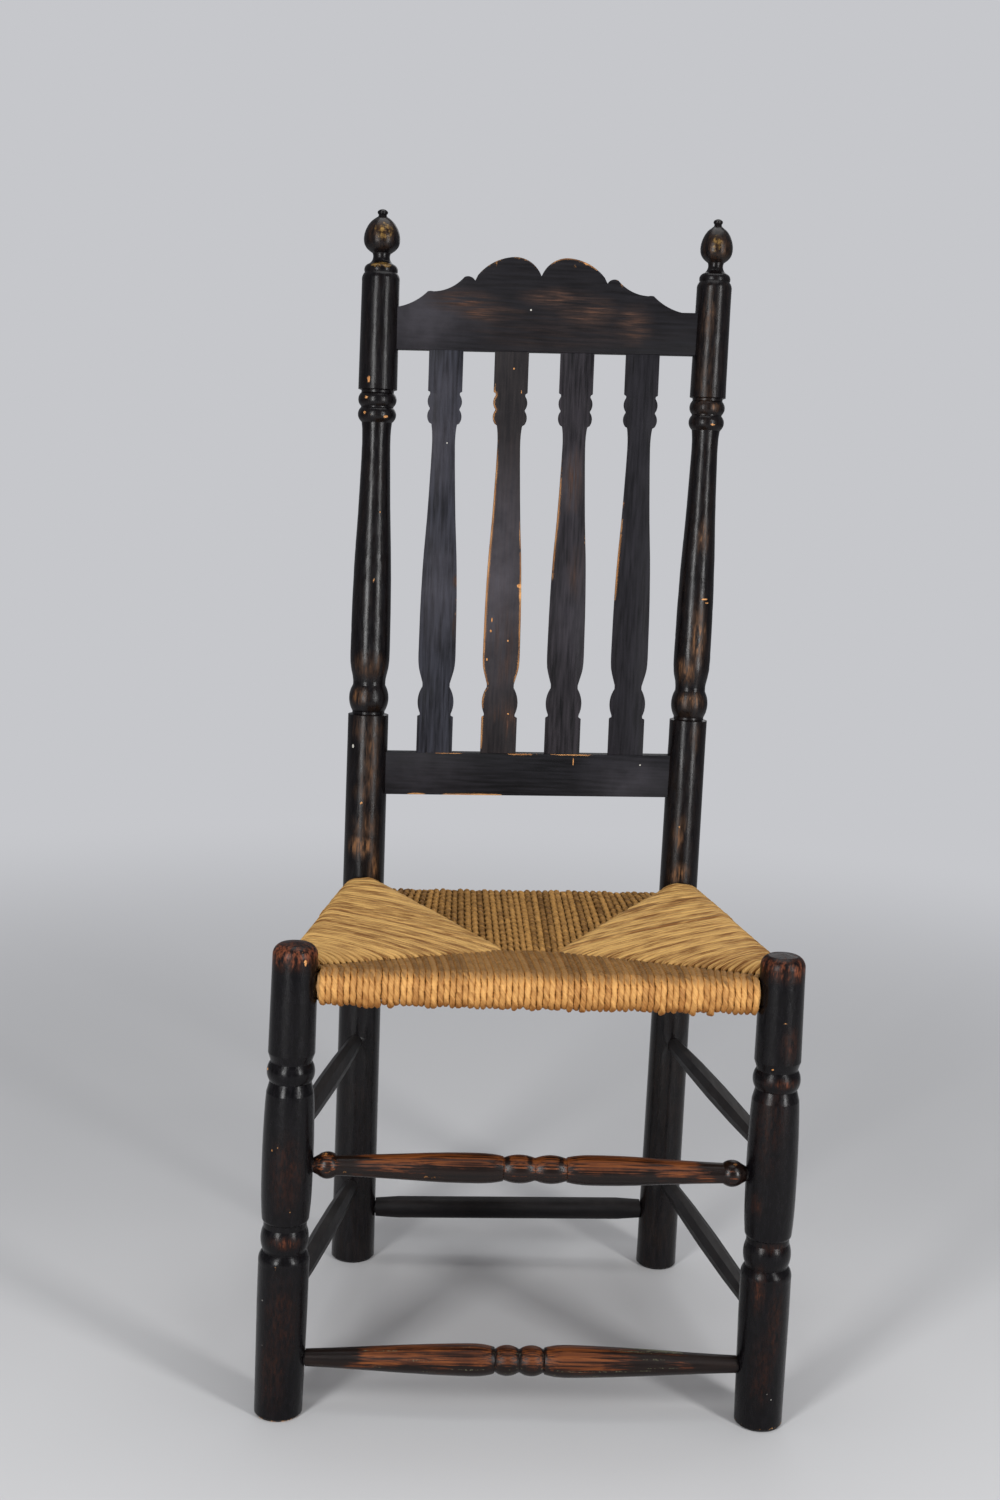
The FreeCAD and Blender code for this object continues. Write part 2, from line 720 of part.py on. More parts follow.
def board_mortise(side, bottom, height):
    """Slot in a rear post for the end of a back board."""
    near = board_end(side, bottom + height / 2) + side * mortise_end_gap
    far = near - side * (upper_shaft_radius + cut_overrun + shaft_top_radius)
    low = min(near, far)
    slot = Part.makeBox(abs(far - near), back_board_thickness + 2 * back_board_fit,
                        height + 2 * back_board_fit,
                        V(low, -back_board_thickness / 2 - back_board_fit, bottom - back_board_fit))
    uprights["rear_post_" + SIDES[side]]["mortises"].append(on_back(slot))


def banister_at(number, shift):
    """Middle of a banister's end, across the back."""
    return banister_pitch * (number - (banister_count - 1) / 2) + shift


def banister_tenons(number, grow):
    """Flat tenons of a banister, in the stay rail and in the crest."""
    front = (banister_top_block_radius - banister_tenon_thickness) / 2 - back_board_thickness / 2
    stay_top = stay_bottom + stay_depth
    ends = ((banister_at(number, banister_foot_shift), stay_top - banister_tenon_length - grow),
            (banister_at(number, banister_top_shift), crest_bottom))
    return [Part.makeBox(banister_tenon_width + 2 * grow, banister_tenon_thickness + 2 * grow,
                         banister_tenon_length + grow,
                         V(across - banister_tenon_width / 2 - grow, front - grow, bottom))
            for across, bottom in ends]


def crest_outline():
    """Closed outline of the crest board: a double lobe between two noses and steps."""
    left_end = board_end(LEFT, crest_bottom + crest_end_height / 2)
    right_end = board_end(RIGHT, crest_bottom + crest_end_height / 2)
    edges = []

    def line(start, end):
        points = [V(across, 0, crest_bottom + up) for across, up in (start, end)]
        edges.append(Part.makeLine(*points))

    def arc(start, through, end, side):
        points = [V(side * across, 0, crest_bottom + up) for across, up in (start, through, end)]
        edges.append(Part.Arc(*points).toShape())

    def curve(start, end, shares, side):
        arc(start, eased(start, end, shares)[0], end, side)

    def bulged(start, end, bulge, side):
        arc(start, ((start[0] + end[0]) / 2, (start[1] + end[1]) / 2 + bulge), end, side)

    cleft = (0, crest_cleft_height)
    peak = (crest_peak_at, crest_peak_height)
    lobe_end = (crest_lobe_end, crest_cleft_height)
    notch = (crest_notch_at, crest_notch_height)
    nose_in = (crest_nose_at - crest_nose_width, crest_nose_height)
    nose = (crest_nose_at, crest_nose_height)
    step_in = (crest_step_at - crest_step_width, crest_step_height)
    step = (crest_step_at, crest_step_height)
    end = (crest_end_at, crest_end_height)
    for side, board in ((LEFT, left_end), (RIGHT, right_end)):
        curve(cleft, peak, crest_lobe_rise_shares, side)
        curve(peak, lobe_end, crest_lobe_fall_shares, side)
        line((side * lobe_end[0], lobe_end[1]), (side * notch[0], notch[1]))
        curve(notch, nose_in, crest_nose_shares, side)
        bulged(nose_in, nose, crest_nose_bulge, side)
        curve(nose, step_in, crest_hollow_shares, side)
        bulged(step_in, step, crest_step_bulge, side)
        curve(step, end, crest_end_shares, side)
        line((side * end[0], end[1]), (board, end[1]))
        line((board, end[1]), (board, 0))
    line((left_end, 0), (right_end, 0))
    return Part.Face(Part.Wire(Part.__sortEdges__(edges)))


def crest_rail():
    face = crest_outline()
    face.translate(V(0, -back_board_thickness / 2, 0))
    return face.extrude(V(0, back_board_thickness, 0))


def stay_rail():
    left_end = board_end(LEFT, stay_bottom + stay_depth / 2)
    right_end = board_end(RIGHT, stay_bottom + stay_depth / 2)
    return Part.makeBox(right_end - left_end, back_board_thickness, stay_depth,
                        V(left_end, -back_board_thickness / 2, stay_bottom))


def banister(number):
    """Half of a turned spindle, flat to the front, with a tenon at each end."""
    foot = stay_bottom + stay_depth
    lift = (post_lift[LEFT] + post_lift[RIGHT]) / 2
    steps = raised([(shaft_top, banister_block_radius)]
                   + spindle_steps(banister_ball_radius, banister_groove_radius, banister_neck_radius,
                                   banister_wide_radius, banister_slim_radius, banister_bead_radius,
                                   banister_root_radius)
                   + [(upper_shaft_bottom, banister_top_block_radius)], lift)
    face = outline_face((foot - cut_overrun, banister_block_radius),
                        steps + [(crest_bottom + cut_overrun, banister_top_block_radius)])
    half = turn(face, 180)
    across = banister_at(number, banister_foot_shift)
    front = -back_board_thickness / 2
    half.translate(V(across, front, 0))
    lean = math.degrees(math.atan2(banister_top_shift - banister_foot_shift, crest_bottom - foot))
    half.rotate(V(across, 0, foot), V(0, 1, 0), lean)
    width = 2 * banister_pitch
    between = Part.makeBox(width, width, crest_bottom - foot,
                           V(across - width / 2, front - width / 2, foot))
    half = half.common(between)
    for tenon in banister_tenons(number, 0):
        half = half.fuse(tenon)
    return half.removeSplitter()


for side in SIDES:
    board_mortise(side, crest_bottom, crest_end_height)
    board_mortise(side, stay_bottom, stay_depth)
crest = crest_rail()
stay = stay_rail()
for number in range(banister_count):
    parts["banister_" + str(number + 1)] = on_back(banister(number))
    low_mortise, high_mortise = banister_tenons(number, tenon_fit)
    stay = stay.cut(low_mortise)
    crest = crest.cut(high_mortise)
parts["crest_rail"] = on_back(crest)
parts["stay_rail"] = on_back(stay)

for name, upright in uprights.items():
    solid = upright["solid"]
    for mortise in upright["mortises"]:
        solid = solid.cut(mortise)
    parts[name] = solid

# Centre the whole chair on its own footprint and write one file for each piece
box = Part.makeCompound(list(parts.values())).optimalBoundingBox(False)
centre = V(-(box.XMin + box.XMax) / 2, -(box.YMin + box.YMax) / 2, -box.ZMin)
os.makedirs("parts", exist_ok=True)
for name, shape in sorted(parts.items()):
    placed = shape.copy()
    placed.translate(centre)
    placed.exportStep("parts/" + name + ".step")
print("pieces", len(parts), "box", round(box.XLength), round(box.YLength), round(box.ZLength))
print("shift", centre)
for name, shape in sorted(parts.items()):
    if not shape.isValid() or not shape.Solids:
        print("check", name, shape.isValid(), len(shape.Solids))
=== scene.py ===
"""Banister back side chair with a rush seat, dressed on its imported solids.

Metres, with the chair's front towards -Y and its feet on the floor at Z 0. Places of wear are in millimetres.
"""
import math
import random

import bpy
from mathutils import Matrix, Vector


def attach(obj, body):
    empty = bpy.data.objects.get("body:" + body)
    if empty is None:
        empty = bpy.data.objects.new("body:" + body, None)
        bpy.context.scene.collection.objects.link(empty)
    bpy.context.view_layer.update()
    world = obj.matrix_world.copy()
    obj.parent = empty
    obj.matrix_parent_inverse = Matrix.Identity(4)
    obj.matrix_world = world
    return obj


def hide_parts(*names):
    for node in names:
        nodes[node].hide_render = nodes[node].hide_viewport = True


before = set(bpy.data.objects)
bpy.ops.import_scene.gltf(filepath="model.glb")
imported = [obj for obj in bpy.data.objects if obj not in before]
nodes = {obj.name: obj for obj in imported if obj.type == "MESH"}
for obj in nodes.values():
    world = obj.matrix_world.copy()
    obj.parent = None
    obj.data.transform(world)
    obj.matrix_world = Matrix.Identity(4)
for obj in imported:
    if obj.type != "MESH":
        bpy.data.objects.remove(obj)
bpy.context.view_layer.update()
MM = 0.001


def ink(text):
    """An sRGB hex colour as the linear colour that a shader takes."""
    channels = [int(text[place:place + 2], 16) / 255 for place in (1, 3, 5)]
    return tuple(c / 12.92 if c <= 0.04045 else ((c + 0.055) / 1.055) ** 2.4 for c in channels) + (1.0,)


def put(tree, kind, sockets=None, **settings):
    """One node with its settings, its plain values and its links."""
    node = tree.nodes.new(kind)
    for name, value in settings.items():
        setattr(node, name, value)
    for socket, value in (sockets or {}).items():
        if isinstance(value, bpy.types.NodeSocket):
            tree.links.new(value, node.inputs[socket])
        else:
            node.inputs[socket].default_value = value
    return node


def finish_named(name):
    """An empty finish and the tree to fill."""
    finish = bpy.data.materials.new(name)
    finish.use_nodes = True
    finish.node_tree.nodes.clear()
    return finish, finish.node_tree


def dress(piece, finish):
    """Give a piece its one finish."""
    piece.data.materials.clear()
    piece.data.materials.append(finish)


# Camera and light

camera_place = (-0.1209, -1.8326, 0.9200)
yaw, pitch, roll = math.radians(2.587), math.radians(9.470), math.radians(2.543)
camera_data = bpy.data.cameras.new("camera")
camera = bpy.data.objects.new("camera", camera_data)
bpy.context.scene.collection.objects.link(camera)
bpy.context.scene.camera = camera
camera_data.lens = 44.39
camera_data.sensor_width = 36.0
forward = Vector((math.sin(yaw) * math.cos(pitch), math.cos(yaw) * math.cos(pitch), -math.sin(pitch)))
level_right = Vector((math.cos(yaw), -math.sin(yaw), 0))
level_up = level_right.cross(forward)
right = level_right * math.cos(roll) + level_up * math.sin(roll)
up = level_up * math.cos(roll) - level_right * math.sin(roll)
camera.matrix_world = Matrix.Translation(camera_place) @ Matrix((right, up, -forward)).transposed().to_4x4()

backdrop = "#c6c7cb"
studio = bpy.context.scene.world or bpy.data.worlds.new("studio")
bpy.context.scene.world = studio
studio.use_nodes = True
air = studio.node_tree
air.nodes.clear()
path = put(air, "ShaderNodeLightPath")
soft = put(air, "ShaderNodeBackground", {"Color": ink("#dfe2ea"), "Strength": 0.27})
wall = put(air, "ShaderNodeBackground", {"Color": ink(backdrop), "Strength": 1.0})
seen = put(air, "ShaderNodeMixShader",
           {0: path.outputs["Is Camera Ray"], 1: soft.outputs[0], 2: wall.outputs[0]})
put(air, "ShaderNodeOutputWorld", {"Surface": seen.outputs[0]})
bpy.context.scene.view_settings.view_transform = "Standard"

# soft lamps, an upper and a lower one on each side, so that the turnings shine all the way down;
# each has its place, the point it faces, its width and height, and its watts
for name, place, aim, size, watts in (
        ("softbox_left", (-1.3, -1.95, 1.6), (0, 0, 0.8), (0.44, 1.15), 21),
        ("softbox_left_low", (-1.3, -1.95, 0.65), (0, 0, 0.5), (0.44, 0.75), 22),
        ("softbox_right", (1.4, -1.6, 1.6), (0, 0, 0.8), (0.32, 1.15), 15),
        ("softbox_right_low", (1.4, -1.6, 0.65), (0, 0, 0.5), (0.32, 0.75), 16),
        ("softbox_top", (0.1, 0.2, 3.2), (0, 0, 0.5), (2.2, 2.2), 34),
        ("softbox_back", (0.6, 2.4, 1.8), (0, 0, 0.6), (1.2, 1.4), 5)):
    lamp = bpy.data.lights.new(name, "AREA")
    lamp.shape = "RECTANGLE"
    lamp.size, lamp.size_y = size
    lamp.energy = watts
    holder = bpy.data.objects.new(name, lamp)
    bpy.context.scene.collection.objects.link(holder)
    holder.location = place
    holder.rotation_euler = (Vector(aim) - Vector(place)).to_track_quat("-Z", "Y").to_euler()

floor_drop = 0.4 * MM        # keeps the floor clear of the feet
bpy.ops.mesh.primitive_circle_add(vertices=96, radius=14, fill_type="NGON", location=(0, 0, -floor_drop))
floor = bpy.context.active_object
floor.name = "floor"
paper, tree = finish_named("seamless studio paper")
sheet = put(tree, "ShaderNodeBsdfPrincipled", {"Base Color": ink("#c9c9ca"), "Roughness": 0.9})
# beyond the chair's shadow the paper turns up into the backdrop
spot = put(tree, "ShaderNodeTexCoord").outputs["Object"]
away = put(tree, "ShaderNodeVectorMath", {0: spot}, operation="LENGTH").outputs["Value"]
turned_up = put(tree, "ShaderNodeMapRange", {"Value": away, "From Min": 0.7, "From Max": 2.6},
                interpolation_type="SMOOTHSTEP").outputs[0]
looked_at = put(tree, "ShaderNodeLightPath").outputs["Is Camera Ray"]
camera_only = put(tree, "ShaderNodeMath", {0: turned_up, 1: looked_at}, operation="MULTIPLY").outputs[0]
glow = put(tree, "ShaderNodeEmission", {"Color": ink(backdrop), "Strength": 1.0})
blend = put(tree, "ShaderNodeMixShader", {0: camera_only, 1: sheet.outputs[0], 2: glow.outputs[0]})
put(tree, "ShaderNodeOutputMaterial", {"Surface": blend.outputs[0]})
dress(floor, paper)


# Finishes of the wood

# chalky paint, also used as a painted sheen on the crest and the first banister
chalk_and_sheen_colour = "#545158"
tarnish_pair = ("#2a1a0b", "#94743f")
crust_colour = "#6d6e55"
crack_colour = "#060507"
speck_colour = "#b9b6ad"
dust_colour = "#6b6765"
arris_reach = 5.5 * MM        # how far round an arris the paint is rubbed


def spots(tree, place, marks):
    """Strength of the nearest mark here, fading from its middle to its edge.

    A mark is (centre, half sizes, strength), in millimetres on the piece.
    """
    total = 0.0
    for centre, half, strength in marks:
        scale = [1 / (size * MM) for size in half]
        shift = [-at / size for at, size in zip(centre, half)]
        local = put(tree, "ShaderNodeMapping",
                    {"Vector": place, "Location": shift, "Scale": scale}).outputs[0]
        far = put(tree, "ShaderNodeVectorMath", {0: local}, operation="LENGTH").outputs["Value"]
        fade = put(tree, "ShaderNodeMapRange",
                   {"Value": far, "From Min": 0.15, "From Max": 1.0, "To Min": strength, "To Max": 0.0},
                   interpolation_type="SMOOTHSTEP").outputs[0]
        total = put(tree, "ShaderNodeMath", {0: total, 1: fade}, operation="MAXIMUM").outputs[0]
    return total


def worn_paint(name, grain, paint, under, bare, gloss, shine=0.25, run=0.06, streaks=260.0, rub=0.0, edge=0.0,
               brush=0.5, patches=(), kept=(), chips=(), arris=(), bronze=(), bloom_and_sheen=(), dots=(), crust=(),
               cracks=(), dust=0.0):
    """Old black paint over brown stain, rubbed thin along the grain and chipped to the wood.

    Grain is the axis that the streaks follow, run how much they are drawn out along it (less is longer) and
    streaks how many there are to the metre. Rub and edge are wear on all of the face and on all arrises, brush
    is how plain the brush marks are, gloss the roughness and dust what lies on top. Patches are rubbed thin and
    kept places are not, chips and worn arrises show bare wood, bronze is old gilding, bloom chalky paint, which
    on the crest's left end and on the first banister is partly a painted sheen of the left lamp, crust a scaly
    deposit, dots are pale specks and cracks dark lines: each is a list of marks for spots.
    """
    finish, tree = finish_named(name)
    place = put(tree, "ShaderNodeTexCoord").outputs["Object"]
    stretch = [1.0, 1.0, 1.0]
    stretch["XYZ".index(grain)] = run
    along = put(tree, "ShaderNodeMapping", {"Vector": place, "Scale": stretch}).outputs[0]

    # open grain about 1.5 mm wide, brush marks 3 mm, rubbed streaks 4 mm, or 2 mm on the front stretchers
    pores = put(tree, "ShaderNodeTexNoise", {"Vector": along, "Scale": 650.0, "Detail": 3.0}).outputs["Fac"]
    pores = put(tree, "ShaderNodeMapRange", {"Value": pores, "From Min": 0.36, "From Max": 0.64}).outputs[0]
    strokes = put(tree, "ShaderNodeTexNoise", {"Vector": along, "Scale": 330.0, "Detail": 3.0}).outputs["Fac"]
    strokes = put(tree, "ShaderNodeMapRange",
                  {"Value": strokes, "From Min": 0.34, "From Max": 0.66}).outputs[0]
    streak = put(tree, "ShaderNodeTexNoise",
                 {"Vector": along, "Scale": streaks, "Detail": 5.0, "Roughness": 0.66}).outputs["Fac"]
    streak = put(tree, "ShaderNodeMapRange",
                 {"Value": streak, "From Min": 0.36, "From Max": 0.64, "To Max": 1.5}).outputs[0]
    # an uneven coat, about 35 mm, and chips about 2.4 mm
    mottle = put(tree, "ShaderNodeTexNoise",
                 {"Vector": place, "Scale": 28.0, "Detail": 5.0, "Roughness": 0.6}).outputs["Fac"]
    mottle = put(tree, "ShaderNodeMapRange", {"Value": mottle, "From Min": 0.34, "From Max": 0.66}).outputs[0]
    cover = put(tree, "ShaderNodeMapRange", {"Value": mottle, "To Min": 0.5, "To Max": 1.2}).outputs[0]
    flecks = put(tree, "ShaderNodeTexNoise",
                 {"Vector": place, "Scale": 420.0, "Detail": 5.0, "Roughness": 0.7}).outputs["Fac"]

    # how far the paint is rubbed: thin, so that the stain shows, and through
    worn = put(tree, "ShaderNodeMath", {0: spots(tree, place, patches), 1: rub}, operation="ADD").outputs[0]
    worn = put(tree, "ShaderNodeMath", {0: worn, 1: streak}, operation="MULTIPLY").outputs[0]
    worn = put(tree, "ShaderNodeMath", {0: worn, 1: cover}, operation="MULTIPLY").outputs[0]
    if kept:
        worn = put(tree, "ShaderNodeMath", {0: worn, 1: spots(tree, place, kept)},
                   operation="SUBTRACT").outputs[0]
    thin = put(tree, "ShaderNodeMapRange", {"Value": worn, "From Min": 0.0, "From Max": 0.62}).outputs[0]
    through = put(tree, "ShaderNodeMapRange", {"Value": worn, "From Min": 0.5, "From Max": 1.25}).outputs[0]

    # where it has chipped off, ragged at the rim
    broken = put(tree, "ShaderNodeMath", {0: flecks, 1: 0.8}, operation="MULTIPLY").outputs[0]
    if chips:
        broken = put(tree, "ShaderNodeMath", {0: broken, 1: spots(tree, place, chips)},
                     operation="ADD").outputs[0]
    if arris or edge:
        rounded = put(tree, "ShaderNodeBevel", {"Radius": arris_reach}, samples=8).outputs[0]
        plain = put(tree, "ShaderNodeNewGeometry").outputs["Normal"]
        turn = put(tree, "ShaderNodeVectorMath", {0: rounded, 1: plain},
                   operation="DOT_PRODUCT").outputs["Value"]
        corner_share = put(tree, "ShaderNodeMapRange",
                           {"Value": turn, "From Min": 0.99, "From Max": 0.86}).outputs[0]
        rubbed = put(tree, "ShaderNodeMath", {0: spots(tree, place, arris), 1: edge},
                     operation="ADD").outputs[0]
        rubbed = put(tree, "ShaderNodeMath", {0: rubbed, 1: cover}, operation="MULTIPLY").outputs[0]
        broken = put(tree, "ShaderNodeMath", {0: rubbed, 1: corner_share, 2: broken},
                     operation="MULTIPLY_ADD").outputs[0]
    chipped = put(tree, "ShaderNodeMapRange",
                  {"Value": broken, "From Min": 0.93, "From Max": 0.99}).outputs[0]

    # the colours, from the coat down to bare wood and out again to what lies on it
    coat = put(tree, "ShaderNodeMix", {"Factor": mottle, "A": ink(paint[0]), "B": ink(paint[1])},
               data_type="RGBA").outputs["Result"]
    brushed = put(tree, "ShaderNodeMath", {0: strokes, 1: brush}, operation="MULTIPLY").outputs[0]
    coat = put(tree, "ShaderNodeMix", {"Factor": brushed, "A": coat, "B": ink(paint[2])},
               data_type="RGBA").outputs["Result"]
    # chalky paint, and partly painted sheen where its marks lie on the crest's left end and the first banister
    if bloom_and_sheen:
        chalky_and_sheen = put(tree, "ShaderNodeMath", {0: spots(tree, place, bloom_and_sheen), 1: cover},
                     operation="MULTIPLY").outputs[0]
        coat = put(tree, "ShaderNodeMix", {"Factor": chalky_and_sheen, "A": coat, "B": ink(chalk_and_sheen_colour)},
                   data_type="RGBA").outputs["Result"]
    stain = put(tree, "ShaderNodeMix", {"Factor": pores, "A": ink(under[0]), "B": ink(under[1])},
                data_type="RGBA").outputs["Result"]
    colour = put(tree, "ShaderNodeMix", {"Factor": thin, "A": coat, "B": stain},
                 data_type="RGBA").outputs["Result"]
    stain = put(tree, "ShaderNodeMix", {"Factor": pores, "A": ink(under[1]), "B": ink(under[2])},
                data_type="RGBA").outputs["Result"]
    colour = put(tree, "ShaderNodeMix", {"Factor": through, "A": colour, "B": stain},
                 data_type="RGBA").outputs["Result"]
    if bronze:
        # specks of gilding about 4 mm
        speckle = put(tree, "ShaderNodeTexNoise",
                      {"Vector": place, "Scale": 240.0, "Detail": 4.0, "Roughness": 0.65}).outputs["Fac"]
        gilt = put(tree, "ShaderNodeMath", {0: speckle, 1: 1.6, 2: spots(tree, place, bronze)},
                   operation="MULTIPLY_ADD").outputs[0]
        gilt = put(tree, "ShaderNodeMapRange", {"Value": gilt, "From Min": 1.3, "From Max": 1.95}).outputs[0]
        tarnish = put(tree, "ShaderNodeMapRange",
                      {"Value": speckle, "From Min": 0.42, "From Max": 0.66}).outputs[0]
        tarnish = put(tree, "ShaderNodeMix",
                      {"Factor": tarnish, "A": ink(tarnish_pair[0]), "B": ink(tarnish_pair[1])},
                      data_type="RGBA").outputs["Result"]
        colour = put(tree, "ShaderNodeMix", {"Factor": gilt, "A": colour, "B": tarnish},
                     data_type="RGBA").outputs["Result"]
    wood = put(tree, "ShaderNodeMix", {"Factor": pores, "A": ink(bare[0]), "B": ink(bare[1])},
               data_type="RGBA").outputs["Result"]
    colour = put(tree, "ShaderNodeMix", {"Factor": chipped, "A": colour, "B": wood},
                 data_type="RGBA").outputs["Result"]
    if crust:
        scaly = put(tree, "ShaderNodeMath", {0: flecks, 1: strokes}, operation="ADD").outputs[0]
        scaly = put(tree, "ShaderNodeMath", {0: scaly, 1: spots(tree, place, crust)},
                    operation="ADD").outputs[0]
        scaly = put(tree, "ShaderNodeMapRange",
                    {"Value": scaly, "From Min": 1.5, "From Max": 1.75}).outputs[0]
        colour = put(tree, "ShaderNodeMix", {"Factor": scaly, "A": colour, "B": ink(crust_colour)},
                     data_type="RGBA").outputs["Result"]
    for marks, tint in ((cracks, crack_colour), (dots, speck_colour)):
        if marks:
            filled = put(tree, "ShaderNodeMapRange",
                         {"Value": spots(tree, place, marks), "From Min": 0.3, "From Max": 0.5}).outputs[0]
            colour = put(tree, "ShaderNodeMix", {"Factor": filled, "A": colour, "B": ink(tint)},
                         data_type="RGBA").outputs["Result"]
    if dust:
        facing = put(tree, "ShaderNodeSeparateXYZ",
                     {0: put(tree, "ShaderNodeNewGeometry").outputs["Normal"]}).outputs["Z"]
        lying = put(tree, "ShaderNodeMapRange",
                    {"Value": facing, "From Min": 0.1, "From Max": 1.0, "To Max": dust}).outputs[0]
        lying = put(tree, "ShaderNodeMath", {0: lying, 1: cover}, operation="MULTIPLY").outputs[0]
        colour = put(tree, "ShaderNodeMix", {"Factor": lying, "A": colour, "B": ink(dust_colour)},
                     data_type="RGBA").outputs["Result"]

    # duller where it is rubbed, brushed or chipped; streaks and brush marks stand up and chips lie low
    dull = put(tree, "ShaderNodeMath", {0: thin, 1: 0.14, 2: gloss}, operation="MULTIPLY_ADD").outputs[0]
    dull = put(tree, "ShaderNodeMath", {0: strokes, 1: 0.1, 2: dull}, operation="MULTIPLY_ADD").outputs[0]
    dull = put(tree, "ShaderNodeMath", {0: chipped, 1: 0.25, 2: dull}, operation="MULTIPLY_ADD").outputs[0]
    relief = put(tree, "ShaderNodeMath", {0: streak, 1: 0.35, 2: strokes},
                 operation="MULTIPLY_ADD").outputs[0]
    relief = put(tree, "ShaderNodeMath", {0: chipped, 1: -2.0, 2: relief},
                 operation="MULTIPLY_ADD").outputs[0]
    relief = put(tree, "ShaderNodeBump",
                 {"Height": relief, "Strength": 0.3, "Distance": 0.16 * MM}).outputs[0]
    skin = put(tree, "ShaderNodeBsdfPrincipled",
               {"Base Color": colour, "Roughness": dull, "Normal": relief, "IOR": 1.45,
                "Specular IOR Level": shine})
    put(tree, "ShaderNodeOutputMaterial", {"Surface": skin.outputs[0]})
    return finish


def softened_board(node, arris_width, finish):
    """A copy of a board with its arrises worn round, in place of its solid."""
    bpy.ops.object.select_all(action="DESELECT")
    board = bpy.data.objects.new(node + "_worn", nodes[node].data.copy())
    bpy.context.scene.collection.objects.link(board)
    board.select_set(True)
    bpy.context.view_layer.objects.active = board
    bpy.ops.object.mode_set(mode="EDIT")
    bpy.ops.mesh.select_all(action="SELECT")
    bpy.ops.mesh.remove_doubles(threshold=0.01 * MM)
    bpy.ops.mesh.dissolve_limited(angle_limit=math.radians(0.4))
    bpy.ops.object.mode_set(mode="OBJECT")
    bpy.ops.object.shade_smooth()
    worn = board.modifiers.new("worn arris", "BEVEL")
    worn.width = arris_width
    worn.segments = 3
    worn.limit_method = "ANGLE"
    worn.angle_limit = math.radians(34)
    worn.harden_normals = True
    bpy.ops.object.modifier_apply(modifier=worn.name)
    dress(board, finish)
    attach(board, "root")
    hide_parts(node)


maple = ("#a86f3c", "#d9a066")
board_stain = ("#2a201d", "#40302a", "#6b4836")
post_stain = ("#261910", "#483222", "#7d5635")
leg_stain = ("#170c09", "#32190f", "#74402a")
board_arris = 0.8 * MM        # how far the arrises of the boards are worn round

